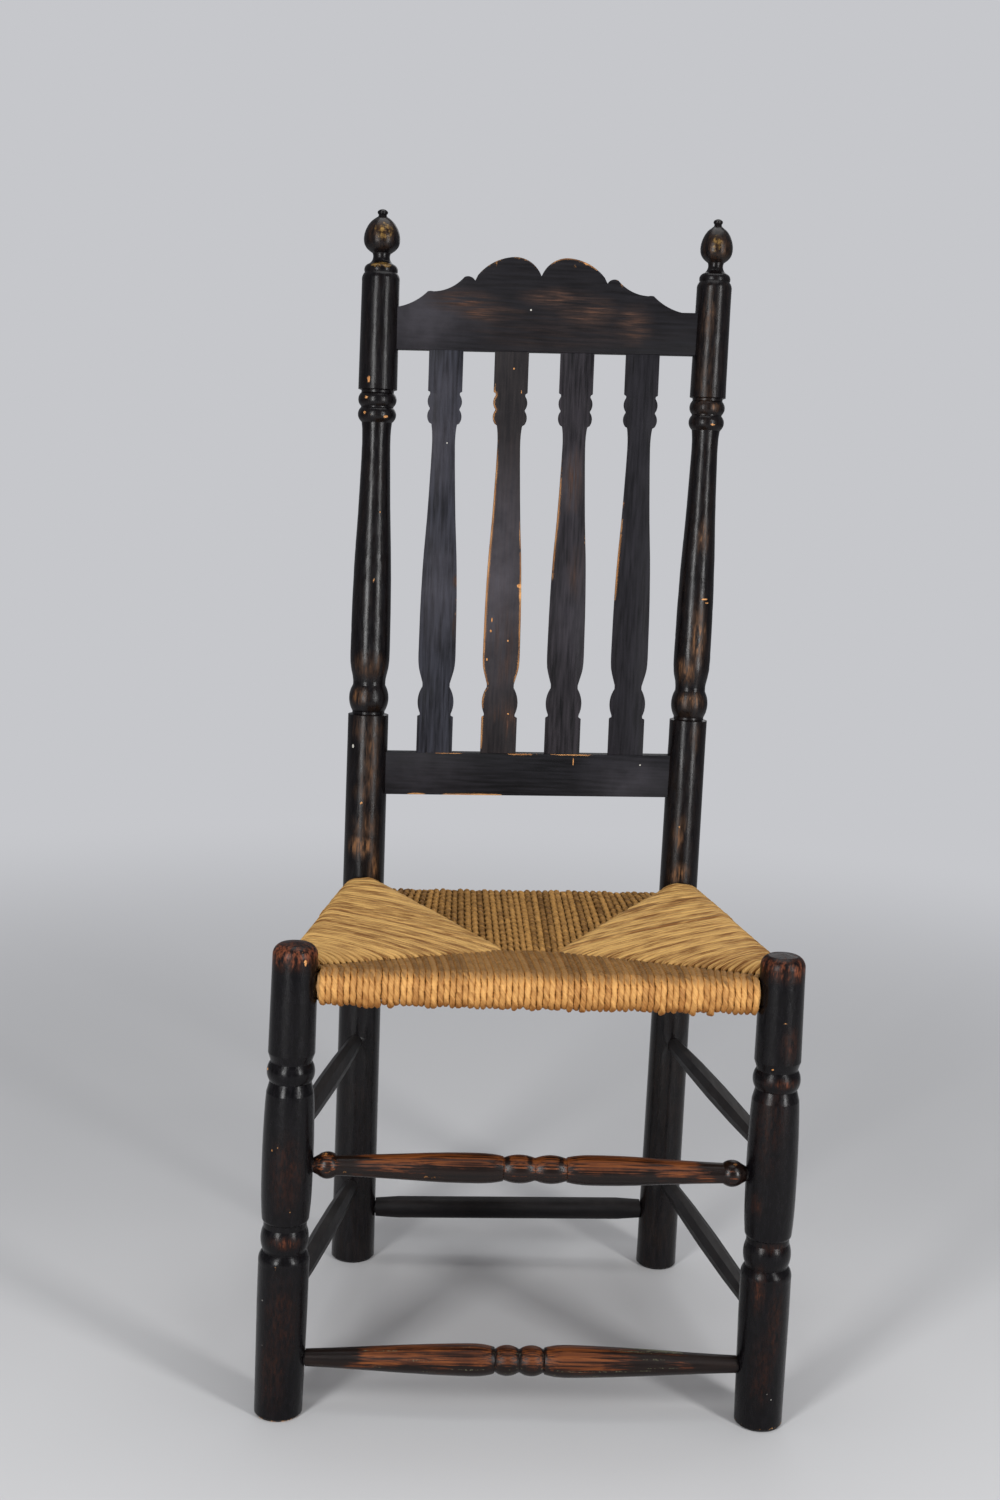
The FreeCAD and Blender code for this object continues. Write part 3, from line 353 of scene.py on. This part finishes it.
# the back boards: dull paint, brushed along the board, its arrises rubbed to the wood
boards = {
    "crest_rail": worn_paint(
        "black paint on the maple crest, dull", "X", ("#0c0b0e", "#141316", "#222126"), board_stain,
        maple, 0.46, shine=0.15, edge=0.25, rub=0.015,
        patches=[((-91, 184, 1066), (48, 12, 16), 0.75), ((-60, 184, 1054), (48, 12, 14), 0.6),
                 ((13, 184, 1072), (54, 12, 16), 0.75), ((44, 184, 1060), (44, 12, 24), 0.7),
                 ((92, 184, 1048), (30, 12, 28), 0.6), ((10, 184, 1036), (140, 12, 26), 0.15)],
        chips=[((27, 186, 1106), (7, 6, 5), 0.5), ((39, 186, 1110), (4, 6, 4), 0.55),
               ((-56, 186, 1104), (2, 6, 5), 0.55)],
        arris=[((-44, 186, 1106), (50, 16, 24), 0.46), ((32, 186, 1108), (50, 16, 24), 0.52),
               ((77, 185, 1092), (22, 16, 14), 0.5)],
        # partly painted sheen: the chalky lightening of the crest's left end stands for the left lamp's sheen
        # as well
        bloom_and_sheen=[((-150, 184, 1045), (110, 12, 60), 0.3)],
        dots=[((-17.6, 184, 1059), (1.5, 5, 1.5), 1.0)]),
    "stay_rail": worn_paint(
        "black paint on the maple stay rail, dull", "X", ("#08080a", "#0f0f12", "#222126"), board_stain,
        maple, 0.42, shine=0.15, brush=0.55,
        chips=[((50.5, 167, 576), (1.1, 6, 9), 0.8)],
        arris=[((-95, 168, 585), (56, 10, 9), 1.3), ((-5, 168, 585), (34, 10, 9), 1.2),
               ((46, 168, 586), (42, 10, 9), 1.4), ((-56, 167, 530), (60, 10, 14), 2.3),
               ((-120, 167, 531), (18, 10, 12), 1.5), ((40, 167, 532), (90, 10, 10), 0.9)],
        bloom_and_sheen=[((-120, 167, 560), (90, 12, 40), 0.15), ((110, 167, 560), (70, 12, 40), 0.25)],
        dots=[((124.5, 167, 575), (1.3, 5, 1.3), 1.0)]),
    "banister_1": worn_paint(
        "black paint on a maple banister, bluish", "Z", ("#0d0d11", "#17171d", "#363740"), board_stain,
        maple, 0.42, shine=0.18, brush=0.7,
        patches=[((-86, 174, 768), (5, 8, 10), 0.9), ((-85, 172, 718), (5, 8, 18), 0.9)],
        arris=[((-85, 173, 740), (6, 12, 70), 0.6)],
        # partly painted sheen: the chalky lightening of this banister stands for the left lamp's sheen as well
        bloom_and_sheen=[((-110, 180, 930), (40, 14, 110), 0.28), ((-105, 176, 760), (40, 14, 100), 0.25)],
        dots=[((-101.5, 179, 915.6), (1.1, 5, 1.2), 1.0)]),
    "banister_2": worn_paint(
        "black paint on a maple banister, gone brown", "Z", ("#141316", "#1e1b1d", "#322d2d"), board_stain,
        maple, 0.46, shine=0.17, edge=0.2, rub=0.06,
        patches=[((-24, 169, 620), (24, 8, 34), 0.5), ((-30, 172, 700), (20, 8, 60), 0.35)],
        kept=[((-30, 182, 980), (30, 14, 60), 0.4), ((-32, 168, 605), (30, 14, 22), 0.3)],
        bloom_and_sheen=[((-36, 175, 765), (40, 18, 190), 0.5)],
        chips=[((-17, 174, 766), (5, 7, 4), 0.9), ((-16, 174, 756), (3, 7, 10), 0.6),
               ((-45.3, 172.5, 728), (1.4, 5, 5), 0.9), ((-46, 172, 716), (1.8, 5, 3), 0.9),
               ((-27, 172, 706), (1.4, 5, 1.8), 1.0), ((-49, 171, 685), (1.7, 5, 2.6), 1.0),
               ((-23.5, 169, 626), (2.2, 5, 2), 0.7), ((-33, 182, 997), (1.5, 5, 2), 0.9),
               ((-24, 181, 973), (1.3, 5, 6), 0.6)],
        arris=[((-52, 175, 780), (18, 16, 210), 1.9), ((-15, 173, 750), (10, 14, 170), 1.25),
               ((-54, 168, 605), (8, 12, 38), 1.2), ((-54, 170, 640), (8, 12, 18), 0.8),
               ((-50, 181, 960), (8, 12, 40), 0.7)]),
    "banister_3": worn_paint(
        "black paint on a maple banister, brushed thin", "Z", ("#0b0a0d", "#151317", "#332f34"), board_stain,
        maple, 0.42, shine=0.18, brush=0.7,
        patches=[((36, 178, 878), (14, 8, 50), 0.75), ((45, 175, 786), (14, 8, 42), 0.5)],
        kept=[((40, 177, 830), (24, 10, 22), 0.3)],
        bloom_and_sheen=[((40, 175, 740), (34, 14, 110), 0.15), ((34, 178, 880), (16, 10, 50), 0.5)],
        arris=[((20, 176, 850), (10, 14, 130), 1.15), ((54, 175, 850), (7, 12, 150), 0.7)]),
    "banister_4": worn_paint(
        "black paint on a maple banister, even", "Z", ("#0c0b0f", "#141317", "#27252b"), board_stain,
        maple, 0.42, shine=0.18, brush=0.6,
        arris=[((88, 176, 815), (11, 14, 120), 0.95)],
        cracks=[((94.6, 182, 1006), (0.9, 6, 17), 1.0)])}
for node, finish in boards.items():
    softened_board(node, board_arris, finish)

# the turned posts and legs: waxed paint that still shines, brown where hands and feet went
black = ("#060507", "#0b090a", "#141215")
uprights = {
    "rear_post_left": worn_paint(
        "black paint on the left maple post, waxed", "Z", black, post_stain,
        maple, 0.21, shine=0.28, run=0.16, rub=0.03,
        patches=[((-178, 170, 1134), (28, 28, 28), 0.5), ((-176, 160, 675), (28, 20, 20), 0.7),
                 ((-187, 160, 641), (16, 14, 13), 1.0), ((-178, 156, 606), (26, 16, 20), 0.45),
                 ((-172, 154, 560), (15, 14, 66), 0.8), ((-179.5, 151, 475.5), (22, 14, 17), 1.5),
                 ((-173, 152, 501), (22, 14, 22), 0.7), ((-165, 152, 455), (9, 14, 30), 0.8),
                 ((-178, 154, 536), (15, 14, 14), 0.7)],
        chips=[((-187, 171, 979), (4, 8, 8), 0.7), ((-189.5, 171, 960), (4.5, 7, 4.5), 0.65),
               ((-190.5, 172, 944), (4.5, 7, 4.5), 0.6), ((-183, 170, 942), (3, 7, 3), 0.55),
               ((-167.5, 170, 940.5), (8, 7, 3.6), 0.7), ((-174.5, 161.5, 768), (3, 7, 12), 0.5),
               ((-184.4, 163.7, 776), (3, 7, 8), 0.45), ((-170.5, 168.5, 839.6), (1.6, 6, 2), 0.7),
               ((-187, 158, 611), (5, 7, 3.5), 0.5), ((-180, 152, 524), (3.4, 7, 6), 0.65)],
        bronze=[((-176, 170, 1136), (20, 24, 24), 1.15), ((-178, 174, 1098.5), (24, 20, 5), 1.3),
                ((-167, 168, 1088), (12, 10, 10), 0.8)],
        dots=[((-191.2, 159.8, 585.7), (1.8, 5, 3.2), 1.0)]),
    "rear_post_right": worn_paint(
        "black paint on the right maple post, waxed", "Z", black, post_stain,
        maple, 0.21, shine=0.28, run=0.16, rub=0.05,
        patches=[((175, 170, 1134), (28, 28, 28), 0.55), ((171, 172, 1065), (12, 14, 40), 0.65),
                 ((171, 172, 1000), (14, 14, 60), 0.25), ((185, 171, 966), (8, 9, 7), 0.8),
                 ((179, 164, 722), (12, 12, 50), 1.3), ((167, 162.5, 682), (20, 16, 20), 1.0),
                 ((176, 159, 650), (22, 14, 13), 0.9), ((171, 153, 503), (12, 12, 26), 0.75),
                 ((172.5, 151, 457), (18, 12, 18), 0.8), ((182, 157, 607), (9, 10, 24), 0.5),
                 ((179, 167, 828), (9, 10, 28), 0.6)],
        chips=[((182, 170.5, 947.5), (9, 8, 3.2), 0.6), ((184, 164, 760.5), (8, 8, 1.8), 0.85),
               ((187, 165, 756.5), (5, 8, 1.4), 0.8), ((178.5, 167, 822), (2.5, 7, 8), 0.45),
               ((170, 153, 508), (3.4, 8, 9), 0.5)],
        bronze=[((174, 170, 1138), (18, 24, 22), 0.85)]),
    "front_leg_left": worn_paint(
        "black paint on the left maple leg, waxed", "Z", black, leg_stain,
        maple, 0.2, shine=0.2, run=0.3,
        patches=[((-229, -190, 448), (80, 80, 17), 1.5), ((-228, -206, 243), (22, 18, 50), 0.45),
                 ((-228, -207, 176), (22, 16, 9), 0.8), ((-229, -209, 100), (22, 18, 60), 0.35),
                 ((-236, -209, 45), (18, 18, 56), 0.35)],
        chips=[((-215.5, -198, 444), (4, 9, 9), 0.6), ((-219, -199, 453), (4, 9, 5), 0.5),
               ((-249, -189, 339), (3, 6, 3.4), 0.7), ((-235.7, -206, 269.5), (2.2, 7, 3), 0.6),
               ((-241.3, -203, 266), (1.6, 7, 3.2), 0.6), ((-223, -208, 209), (3, 7, 5.4), 0.52),
               ((-234.5, -210, 152), (4, 8, 11), 0.5), ((-231, -211, 140), (7, 8, 3.4), 0.45),
               ((-226, -190, 0), (90, 90, 3.5), 0.55)],
        dots=[((-247, -204, 118), (1.3, 5, 1.7), 0.42), ((-246, -205, 74), (1.0, 5, 1.4), 0.4),
              ((-240, -209, 30), (1.0, 5, 1.0), 0.4)]),
    "front_leg_right": worn_paint(
        "black paint on the right maple leg, waxed", "Z", black, leg_stain,
        maple, 0.2, shine=0.2, run=0.3,
        patches=[((229, -190, 452), (80, 80, 17), 1.1), ((234, -200, 380), (14, 13, 24), 0.5),
                 ((229, -203, 343), (26, 16, 7), 0.8), ((220, -203, 298), (22, 18, 60), 0.35),
                 ((212.5, -202, 224), (8, 13, 20), 0.4), ((219, -208, 142), (9, 14, 34), 0.55),
                 ((236, -209, 108), (11, 14, 60), 0.4), ((227, -210, 62), (16, 16, 52), 0.35),
                 ((229, -205, 182), (20, 14, 8), 0.5)],
        chips=[((227.5, -202, 401.5), (7, 7, 1.5), 0.6), ((219, -201, 356.5), (2.4, 6, 2.2), 0.7),
               ((238, -190, 3), (90, 90, 3.5), 0.5)],
        dots=[((237.5, -212, 33), (1.2, 5, 1.2), 0.5), ((233, -212, 39), (1.0, 5, 1.0), 0.45)])}
for node, finish in uprights.items():
    dress(nodes[node], finish)

# the front stretchers: paint worn off the top by feet, kept at the ends and in the grooves; long marks along
# the lower front keep the coat's colour there, so the rungs are darker towards the bottom
rung_paint = ("#0b0605", "#140a07", "#1f110b")
rung_stain = ("#2a1307", "#50260d", "#75401a")
rung_wood = ("#8a5226", "#bd8347")
dress(nodes["front_stretcher_upper"], worn_paint(
    "worn paint on the turned ash stretcher", "X", rung_paint, rung_stain, rung_wood, 0.24,
    shine=0.35, run=0.008, streaks=560.0, rub=1.55,
    kept=[((-222, -185, 247), (84, 40, 34), 5.0), ((220, -185, 254), (78, 40, 34), 5.0),
          ((0, -202, 239), (340, 34, 20), 2.2), ((-22.5, -190, 250), (4, 24, 24), 1.9),
          ((-1.5, -190, 250), (4, 24, 24), 1.9), ((28, -190, 251), (4, 24, 24), 1.9)],
    patches=[((-194, -196, 252), (24, 22, 18), 3.0), ((194, -196, 254), (20, 22, 16), 2.2)],
    chips=[((-193, -188, 257), (7, 10, 6), 0.55), ((-188, -196, 243.5), (5, 8, 4), 0.55),
           ((-174, -194, 242.6), (7, 8, 4), 0.5), ((192, -191, 259), (6, 9, 5), 0.5),
           ((-95, -197, 241), (36, 8, 4), 0.5)]))
dress(nodes["front_stretcher_lower"], worn_paint(
    "worn paint on the turned ash stretcher, lower", "X", rung_paint, rung_stain, rung_wood, 0.28,
    shine=0.3, run=0.008, streaks=560.0, rub=1.4,
    kept=[((-222, -190, 59), (86, 40, 34), 4.6), ((220, -190, 62), (90, 40, 34), 4.6),
          ((150, -190, 58), (130, 34, 34), 1.4), ((0, -202, 44), (340, 34, 18), 2.1),
          ((-27, -192, 62), (4, 24, 24), 1.9), ((-3, -192, 62), (4, 24, 24), 1.9),
          ((21, -192, 62), (4, 24, 24), 1.9)],
    crust=[((128, -190, 71), (70, 16, 6), 0.76)]))

# the side and rear stretchers: paint gone dull and dusty
dusty_stain = ("#17100d", "#291d17", "#433225")
dusty_wood = ("#7a5a3c", "#93704c")
dull_rung = worn_paint(
    "black paint on shaved ash, dusty", "Y", ("#080708", "#0e0d0f", "#161417"), dusty_stain,
    dusty_wood, 0.4, shine=0.2, rub=0.1, dust=0.15)
for side in ("left", "right"):
    for level in ("upper", "lower"):
        dress(nodes["side_stretcher_" + level + "_" + side], dull_rung)
dress(nodes["rear_stretcher"], worn_paint(
    "black paint on shaved ash, dusty, rear", "X", ("#080709", "#0f0e10", "#171518"), dusty_stain,
    dusty_wood, 0.42, shine=0.18, rub=0.08, dust=0.08))

# the seat rails and the stuffing, out of sight under the rush
bare_rail = worn_paint(
    "bare ash rail under the rush", "X", ("#a98354", "#b89162", "#c39c6c"), ("#8a6238", "#a87c48", "#b88c58"),
    ("#a8824f", "#caa066"), 0.6, rub=0.3)
for node in ("seat_rail_front", "seat_rail_rear", "seat_rail_left", "seat_rail_right", "seat_stuffing"):
    dress(nodes[node], bare_rail)


# Rush seat

strand_girth = 19 * MM        # the fibres' map goes this far round a strand


def rush_finish(name, dark, light, low, top, lay, fibres, span):
    """Twisted cattail leaf, straw to brown: fibres along each strand, every strand a little different.

    Low is the colour of what hangs underneath, a painted shade there; top is the pair for what lies
    uppermost, where feet and dust went, partly dust and partly painted shade where the light grazes it; lay
    is the fibres' angle to the strand, fibres how many fit in a metre round it, and span the shades from dark
    to light.
    """
    finish, tree = finish_named(name)
    strand = put(tree, "ShaderNodeUVMap", uv_map="strand").outputs[0]
    strand = put(tree, "ShaderNodeVectorRotate", {"Vector": strand, "Angle": lay},
                 rotation_type="Z_AXIS").outputs[0]
    tone = put(tree, "ShaderNodeAttribute", attribute_name="tone").outputs["Fac"]
    seed = put(tree, "ShaderNodeMath", {0: tone, 1: 40.0}, operation="MULTIPLY").outputs[0]
    # leaf fibres 1.7 to 2.3 mm wide and about 30 mm long, stains about 8 by 22 mm
    drawn = put(tree, "ShaderNodeMapping", {"Vector": strand, "Scale": (34.0, fibres, 1.0)}).outputs[0]
    fibre = put(tree, "ShaderNodeTexNoise",
                {"Vector": drawn, "W": seed, "Scale": 1.0, "Detail": 3.0, "Roughness": 0.6},
                noise_dimensions="4D").outputs["Fac"]
    spread = put(tree, "ShaderNodeMapping", {"Vector": strand, "Scale": (45.0, 130.0, 1.0)}).outputs[0]
    stain = put(tree, "ShaderNodeTexNoise", {"Vector": spread, "W": seed, "Scale": 1.0, "Detail": 3.0},
                noise_dimensions="4D").outputs["Fac"]
    both = put(tree, "ShaderNodeMath", {0: fibre, 1: 2.0, 2: stain}, operation="MULTIPLY_ADD").outputs[0]
    toned = put(tree, "ShaderNodeMath", {0: tone, 1: 0.54, 2: both}, operation="MULTIPLY_ADD").outputs[0]
    share = put(tree, "ShaderNodeMapRange",
                {"Value": toned, "From Min": span[0], "From Max": span[1]}).outputs[0]
    # which way the strand faces here: lying uppermost, upright or hanging underneath, for the painted shade
    # underneath and the dust and painted shade on top
    facing = put(tree, "ShaderNodeSeparateXYZ",
                 {0: put(tree, "ShaderNodeNewGeometry").outputs["Normal"]}).outputs["Z"]
    lying = put(tree, "ShaderNodeMapRange", {"Value": facing, "From Min": 0.45, "From Max": 0.85},
                interpolation_type="SMOOTHSTEP").outputs[0]
    # painted shade: strands that face down take the darker low colour
    hanging_shade = put(tree, "ShaderNodeMapRange",
                  {"Value": facing, "From Min": -0.05, "From Max": -0.75, "To Max": 0.8}).outputs[0]
    leaf = put(tree, "ShaderNodeMix", {"Factor": share, "A": ink(dark), "B": ink(light)},
               data_type="RGBA").outputs["Result"]
    leaf = put(tree, "ShaderNodeMix", {"Factor": hanging_shade, "A": leaf, "B": ink(low)},
               data_type="RGBA").outputs["Result"]
    # dust and painted shade: what lies uppermost takes the top pair, darker on the front field where the light
    # grazes it
    trodden_and_shaded = put(tree, "ShaderNodeMix", {"Factor": share, "A": ink(top[0]), "B": ink(top[1])},
                  data_type="RGBA").outputs["Result"]
    colour = put(tree, "ShaderNodeMix", {"Factor": lying, "A": leaf, "B": trodden_and_shaded},
                 data_type="RGBA").outputs["Result"]
    relief = put(tree, "ShaderNodeBump", {"Height": both, "Strength": 0.7, "Distance": 0.6 * MM}).outputs[0]
    skin = put(tree, "ShaderNodeBsdfPrincipled",
               {"Base Color": colour, "Roughness": 0.6, "Normal": relief, "Specular IOR Level": 0.3})
    put(tree, "ShaderNodeOutputMaterial", {"Surface": skin.outputs[0]})
    return finish


def turn_of_rush(name, turn_length, steps, sides, flat, turned):
    """A short length of strand along X, one metre thick, its ring drawn flat and turned as it goes."""
    bpy.ops.object.select_all(action="DESELECT")
    bpy.ops.mesh.primitive_circle_add(vertices=sides, radius=0.5, fill_type="NOTHING",
                                      rotation=(0, math.pi / 2, 0))
    cord = bpy.context.active_object
    cord.name = name
    bpy.ops.object.transform_apply(location=True, rotation=True, scale=True)
    bpy.ops.object.mode_set(mode="EDIT")
    bpy.ops.mesh.select_all(action="SELECT")
    bpy.ops.transform.resize(value=(1, 1, flat))
    for _ in range(steps):
        bpy.ops.mesh.extrude_region_move(TRANSFORM_OT_translate={"value": (turn_length / steps, 0, 0)})
        if turned:
            bpy.ops.transform.rotate(value=turned / steps, orient_axis="X", center_override=(0, 0, 0))
    bpy.ops.object.mode_set(mode="OBJECT")
    # the fibres' own map: metres along the strand and metres round it
    layer = cord.data.uv_layers.new(name="strand")
    for face in cord.data.polygons:
        corners = [cord.data.loops[loop].vertex_index for loop in face.loop_indices]
        shares = [corner % sides / sides for corner in corners]
        for loop, corner, share in zip(face.loop_indices, corners, shares):
            if max(shares) - min(shares) > 0.5 and share < 0.5:
                share += 1
            layer.data[loop].uv = (cord.data.vertices[corner].co.x, share * strand_girth)
    return cord


# the rails' axes, corner to corner, and where the four fields meet
front_y = -180.5 * MM
rear_y = 169.3 * MM
front_x = 226.3 * MM
rear_x = 175.3 * MM
rail_end = {("front", "left"): Vector((-front_x, front_y, 418 * MM)),
            ("front", "right"): Vector((front_x, front_y, 423 * MM)),
            ("front side", "left"): Vector((-front_x, front_y, 424.5 * MM)),
            ("front side", "right"): Vector((front_x, front_y, 429.5 * MM)),
            ("rear side", "left"): Vector((-rear_x, rear_y, 424.5 * MM)),
            ("rear side", "right"): Vector((rear_x, rear_y, 429.5 * MM)),
            ("rear", "left"): Vector((-rear_x, rear_y, 406.5 * MM)),
            ("rear", "right"): Vector((rear_x, rear_y, 413.5 * MM))}
apex_share = 0.44             # of the way back, where the seams meet
apex_y = front_y + apex_share * (rear_y - front_y)
apex_x = {"left": -28.5 * MM, "right": 28.5 * MM}
apex_top = 412 * MM
apex_low = 406 * MM

# strands: where they run and how many there are
strand_out = 14.3 * MM        # middle of a strand from its rail's axis
strand_corner = 12.0 * MM     # radius of its bend round the rail
point_spacing = 12 * MM       # between the points of its route
seam_dive = 6 * MM            # how far its end goes down into the seam
seam_start = {"front": 0.085, "rear": 0.098}        # share of a seam that is hidden at its corner
strands_at_seam = {"front": 31, "rear": 18}
middle_strands = 9            # between the two apexes
first_x = {"front": -203.0 * MM, "rear": -150.5 * MM}
end_pitch = {"front": 5.72 * MM, "rear": 6.69 * MM}
side_start = 22.5 * MM        # from the front corner along a side rail
side_pitch = {"front": 5.5 * MM, "rear": 7.5 * MM}


def seam_point(end, side, order, layer):
    """Where strand number order of a seam meets it, with the heights of its upper and lower layer.

    Layer names the rail that the strand comes from, front, rear, front side or rear side.
    """
    start = rail_end[(layer, side)]
    share = seam_start[end] + (1 - seam_start[end]) * (order + 0.5) / strands_at_seam[end]
    return (Vector((start.x + (apex_x[side] - start.x) * share, start.y + (apex_y - start.y) * share, 0)),
            start.z + strand_out + (apex_top - start.z - strand_out) * share,
            start.z - strand_out + (apex_low - start.z + strand_out) * share)


def over_rail(centre, outward, hang):
    """Middle of a strand round a rail, from above it to below it. A loose strand swings in as it hangs."""
    points = []
    flat = strand_out - strand_corner
    for turned in (90, 68, 45, 22, 0, -22, -45, -68, -90):
        angle = math.radians(turned)
        below = turned < 0
        out = flat + strand_corner * math.cos(angle) - (hang * 0.2 if below else 0)
        rise = (-flat - hang if below else flat if turned else 0) + strand_corner * math.sin(angle)
        points.append(centre + outward * out + Vector((0, 0, rise)))
    return points


def strand_route(centre, outward, seam, dive, crown, hang):
    """Route of one strand: up out of the seam, over its rail and back below to the seam."""
    place, top, low = seam
    rail_top = centre + Vector((0, 0, strand_out))
    rail_low = centre - Vector((0, 0, strand_out + hang * 0.6))
    inward = place - Vector((centre.x, centre.y, 0))
    count = max(2, int(inward.length / point_spacing))
    inward.normalize()
    top_end = place + Vector((0, 0, top))
    low_end = place + Vector((0, 0, low))
    # a short bend at the seam, a low crown over the seat, round the rail, and straight back
    points = [top_end + inward * 1.6 * MM - Vector((0, 0, dive)),
              top_end + inward * 1.0 * MM - Vector((0, 0, 3.0 * MM)),
              top_end - inward * 1.5 * MM - Vector((0, 0, 0.5 * MM))]
    points += [top_end.lerp(rail_top, step / count) + Vector((0, 0, crown * math.sin(math.pi * step / count)))
               for step in range(1, count)]
    points.append(rail_top)
    points += over_rail(centre, outward, hang)
    points.append(rail_low)
    points += [rail_low.lerp(low_end, step / count) for step in range(1, count)]
    points += [low_end, low_end + inward * 1.0 * MM + Vector((0, 0, 3.0 * MM))]
    return points


def lay_strand(piece, points, width, seam_width, tone):
    """A copy of the short length, repeated along a route and bent to it. Gives the strand and its route."""
    length = sum((b - a).length for a, b in zip(points, points[1:]))
    turn_length = piece.dimensions.x
    count = max(2, round(length / turn_length))
    line = bpy.data.curves.new("route", "CURVE")
    line.dimensions = "3D"
    spline = line.splines.new("POLY")
    spline.points.add(len(points) - 1)
    # as wide as the seam allows in it, and at full width five points on
    first, last = 2, len(points) - 3
    for number, (place, point) in enumerate(zip(spline.points, points)):
        place.co = (point.x, point.y, point.z, 1)
        share = min(1.0, (number - first) / 5, (last - number) / 5)
        place.radius = seam_width + (1 - seam_width) * max(0.0, share)
    route = bpy.data.objects.new("route", line)
    bpy.context.scene.collection.objects.link(route)
    mesh = piece.data.copy()
    # no two neighbours turn in step
    turned = Matrix.Rotation(tone * 2 * math.pi, 4, "X")
    mesh.transform(Matrix.Diagonal((length / count / turn_length, width, width, 1)) @ turned)
    mesh.attributes.new("tone", "FLOAT", "POINT").data.foreach_set("value", [tone] * len(mesh.vertices))
    strand = bpy.data.objects.new("strand", mesh)
    bpy.context.scene.collection.objects.link(strand)
    repeat = strand.modifiers.new("repeat", "ARRAY")
    repeat.count = count
    repeat.use_merge_vertices = True
    repeat.merge_threshold = 0.2 * MM
    repeat.offset_u = turn_length
    bend = strand.modifiers.new("bend", "CURVE")
    bend.object = route
    bend.deform_axis = "POS_X"
    return strand, route


def gather_field(name, laid, finish, node):
    """Strands of one field, made mesh, closed at their ends and joined."""
    bpy.ops.object.select_all(action="DESELECT")
    for strand, _ in laid:
        strand.select_set(True)
    bpy.context.view_layer.objects.active = laid[0][0]
    bpy.ops.object.convert(target="MESH")
    for _, route in laid:
        bpy.data.objects.remove(route)
    bpy.ops.object.join()
    field = bpy.context.active_object
    field.name = name
    bpy.ops.object.mode_set(mode="EDIT")
    bpy.ops.mesh.select_mode(type="EDGE")
    bpy.ops.mesh.select_all(action="DESELECT")
    bpy.ops.mesh.select_non_manifold()
    bpy.ops.mesh.fill_holes(sides=12)
    bpy.ops.mesh.select_all(action="SELECT")
    bpy.ops.mesh.normals_make_consistent(inside=False)
    bpy.ops.object.mode_set(mode="OBJECT")
    bpy.ops.object.shade_smooth()
    dress(field, finish)
    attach(field, "root")
    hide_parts(node)


random.seed(11)
# each with its length, its rings, its sides, how flat it is and how far it turns
twisted = turn_of_rush("twisted_rush", 15 * MM, 5, 8, 0.62, math.pi)
wrapped = turn_of_rush("wrapped_rush", 13 * MM, 4, 8, 0.8, math.pi)
smooth = turn_of_rush("smooth_rush", 10 * MM, 2, 8, 0.96, 0)
# the front field's top pair is darker than its face, partly dust and partly painted shade of the grazing light;
# its low colour is painted shade underneath
front_rush = rush_finish(
    "cattail rush, twisted, golden", "#86501d", "#d39f5c", "#834a12", ("#51371a", "#a57a47"),
    0.22, 480.0, (1.08, 2.1))
# the rear field's darker shades are partly dust and partly painted shade of the grazing light and of the gaps
# between its strands
rear_rush = rush_finish(
    "cattail rush, twisted, olive, with dust and painted shade", "#583a16", "#b58a50", "#5f3e16", ("#5c3c17", "#be8d4c"),
    0.6, 430.0, (1.28, 2.17))
pale_rush = rush_finish(
    "cattail rush, smooth, straw", "#75491b", "#cca05e", "#7e5522", ("#784d1e", "#cca15e"),
    0.07, 600.0, (1.38, 2.0))

# each strand is a little wider than its pitch, so that neighbours press on one another; in the seam those
# of the front and the rear narrow a little, and those of the sides narrow or spread to the seam's spacing
end_seam_width = 0.98
side_seam_width = {"front": 0.88, "rear": 1.12}
fields = {"front": [], "rear": [], "left": [], "right": []}
for end, short, way in (("front", wrapped, -1), ("rear", twisted, 1)):
    outward = Vector((0, way, 0))
    left_end, right_end = rail_end[(end, "left")], rail_end[(end, "right")]
    per_seam = strands_at_seam[end]
    pitch = end_pitch[end]
    count = 2 * per_seam + middle_strands
    for number in range(count):
        x = first_x[end] + (number + 0.5) * pitch
        centre = left_end.lerp(right_end, (x - left_end.x) / (right_end.x - left_end.x))
        if number < per_seam:
            seam = seam_point(end, "left", number, end)
        elif number >= count - per_seam:
            seam = seam_point(end, "right", count - 1 - number, end)
        else:
            across = (number - per_seam + 0.5) / middle_strands
            x = apex_x["left"] + (apex_x["right"] - apex_x["left"]) * across
            seam = (Vector((x, apex_y, 0)), apex_top, apex_low)
        # every strand hangs a little and one in ten is loose
        hang = random.uniform(0, 2.4) * MM
        if random.random() < 0.1:
            hang += 2.5 * MM
        centre = centre + Vector((random.uniform(-0.4, 0.4) * MM, 0, random.uniform(-0.3, 0.3) * MM))
        points = strand_route(centre, outward, seam, seam_dive, 1.0 * MM, hang)
        width = pitch * random.uniform(1.18, 1.32)
        fields[end].append(lay_strand(short, points, width, end_seam_width, random.random()))

# the side strands go down past those of the front and the rear
side_ends = ["front"] * strands_at_seam["front"] + ["rear"] * strands_at_seam["rear"]
for side, way in (("left", -1), ("right", 1)):
    start, stop = rail_end[("front side", side)], rail_end[("rear side", side)]
    run = (stop - start).normalized()
    outward = Vector((run.y, -run.x, 0)) * way
    along = side_start
    for number, end in enumerate(side_ends):
        pitch = side_pitch[end]
        centre = start + run * (along + pitch / 2)
        along += pitch
        order = number if end == "front" else len(side_ends) - 1 - number
        seam = seam_point(end, side, order, end + " side")
        dive = seam[1] - seam_point(end, side, order, end)[1] + seam_dive
        points = strand_route(centre, outward, seam, dive, 2.5 * MM, random.uniform(0, 1.5) * MM)
        width = pitch * random.uniform(1.1, 1.22)
        fields[side].append(lay_strand(smooth, points, width, side_seam_width[end], random.random()))

for field, finish in (("front", front_rush), ("rear", rear_rush), ("left", pale_rush), ("right", pale_rush)):
    gather_field("rush_field_" + field, fields[field], finish, "rush_" + field)
for short in (twisted, wrapped, smooth):
    bpy.data.objects.remove(short)
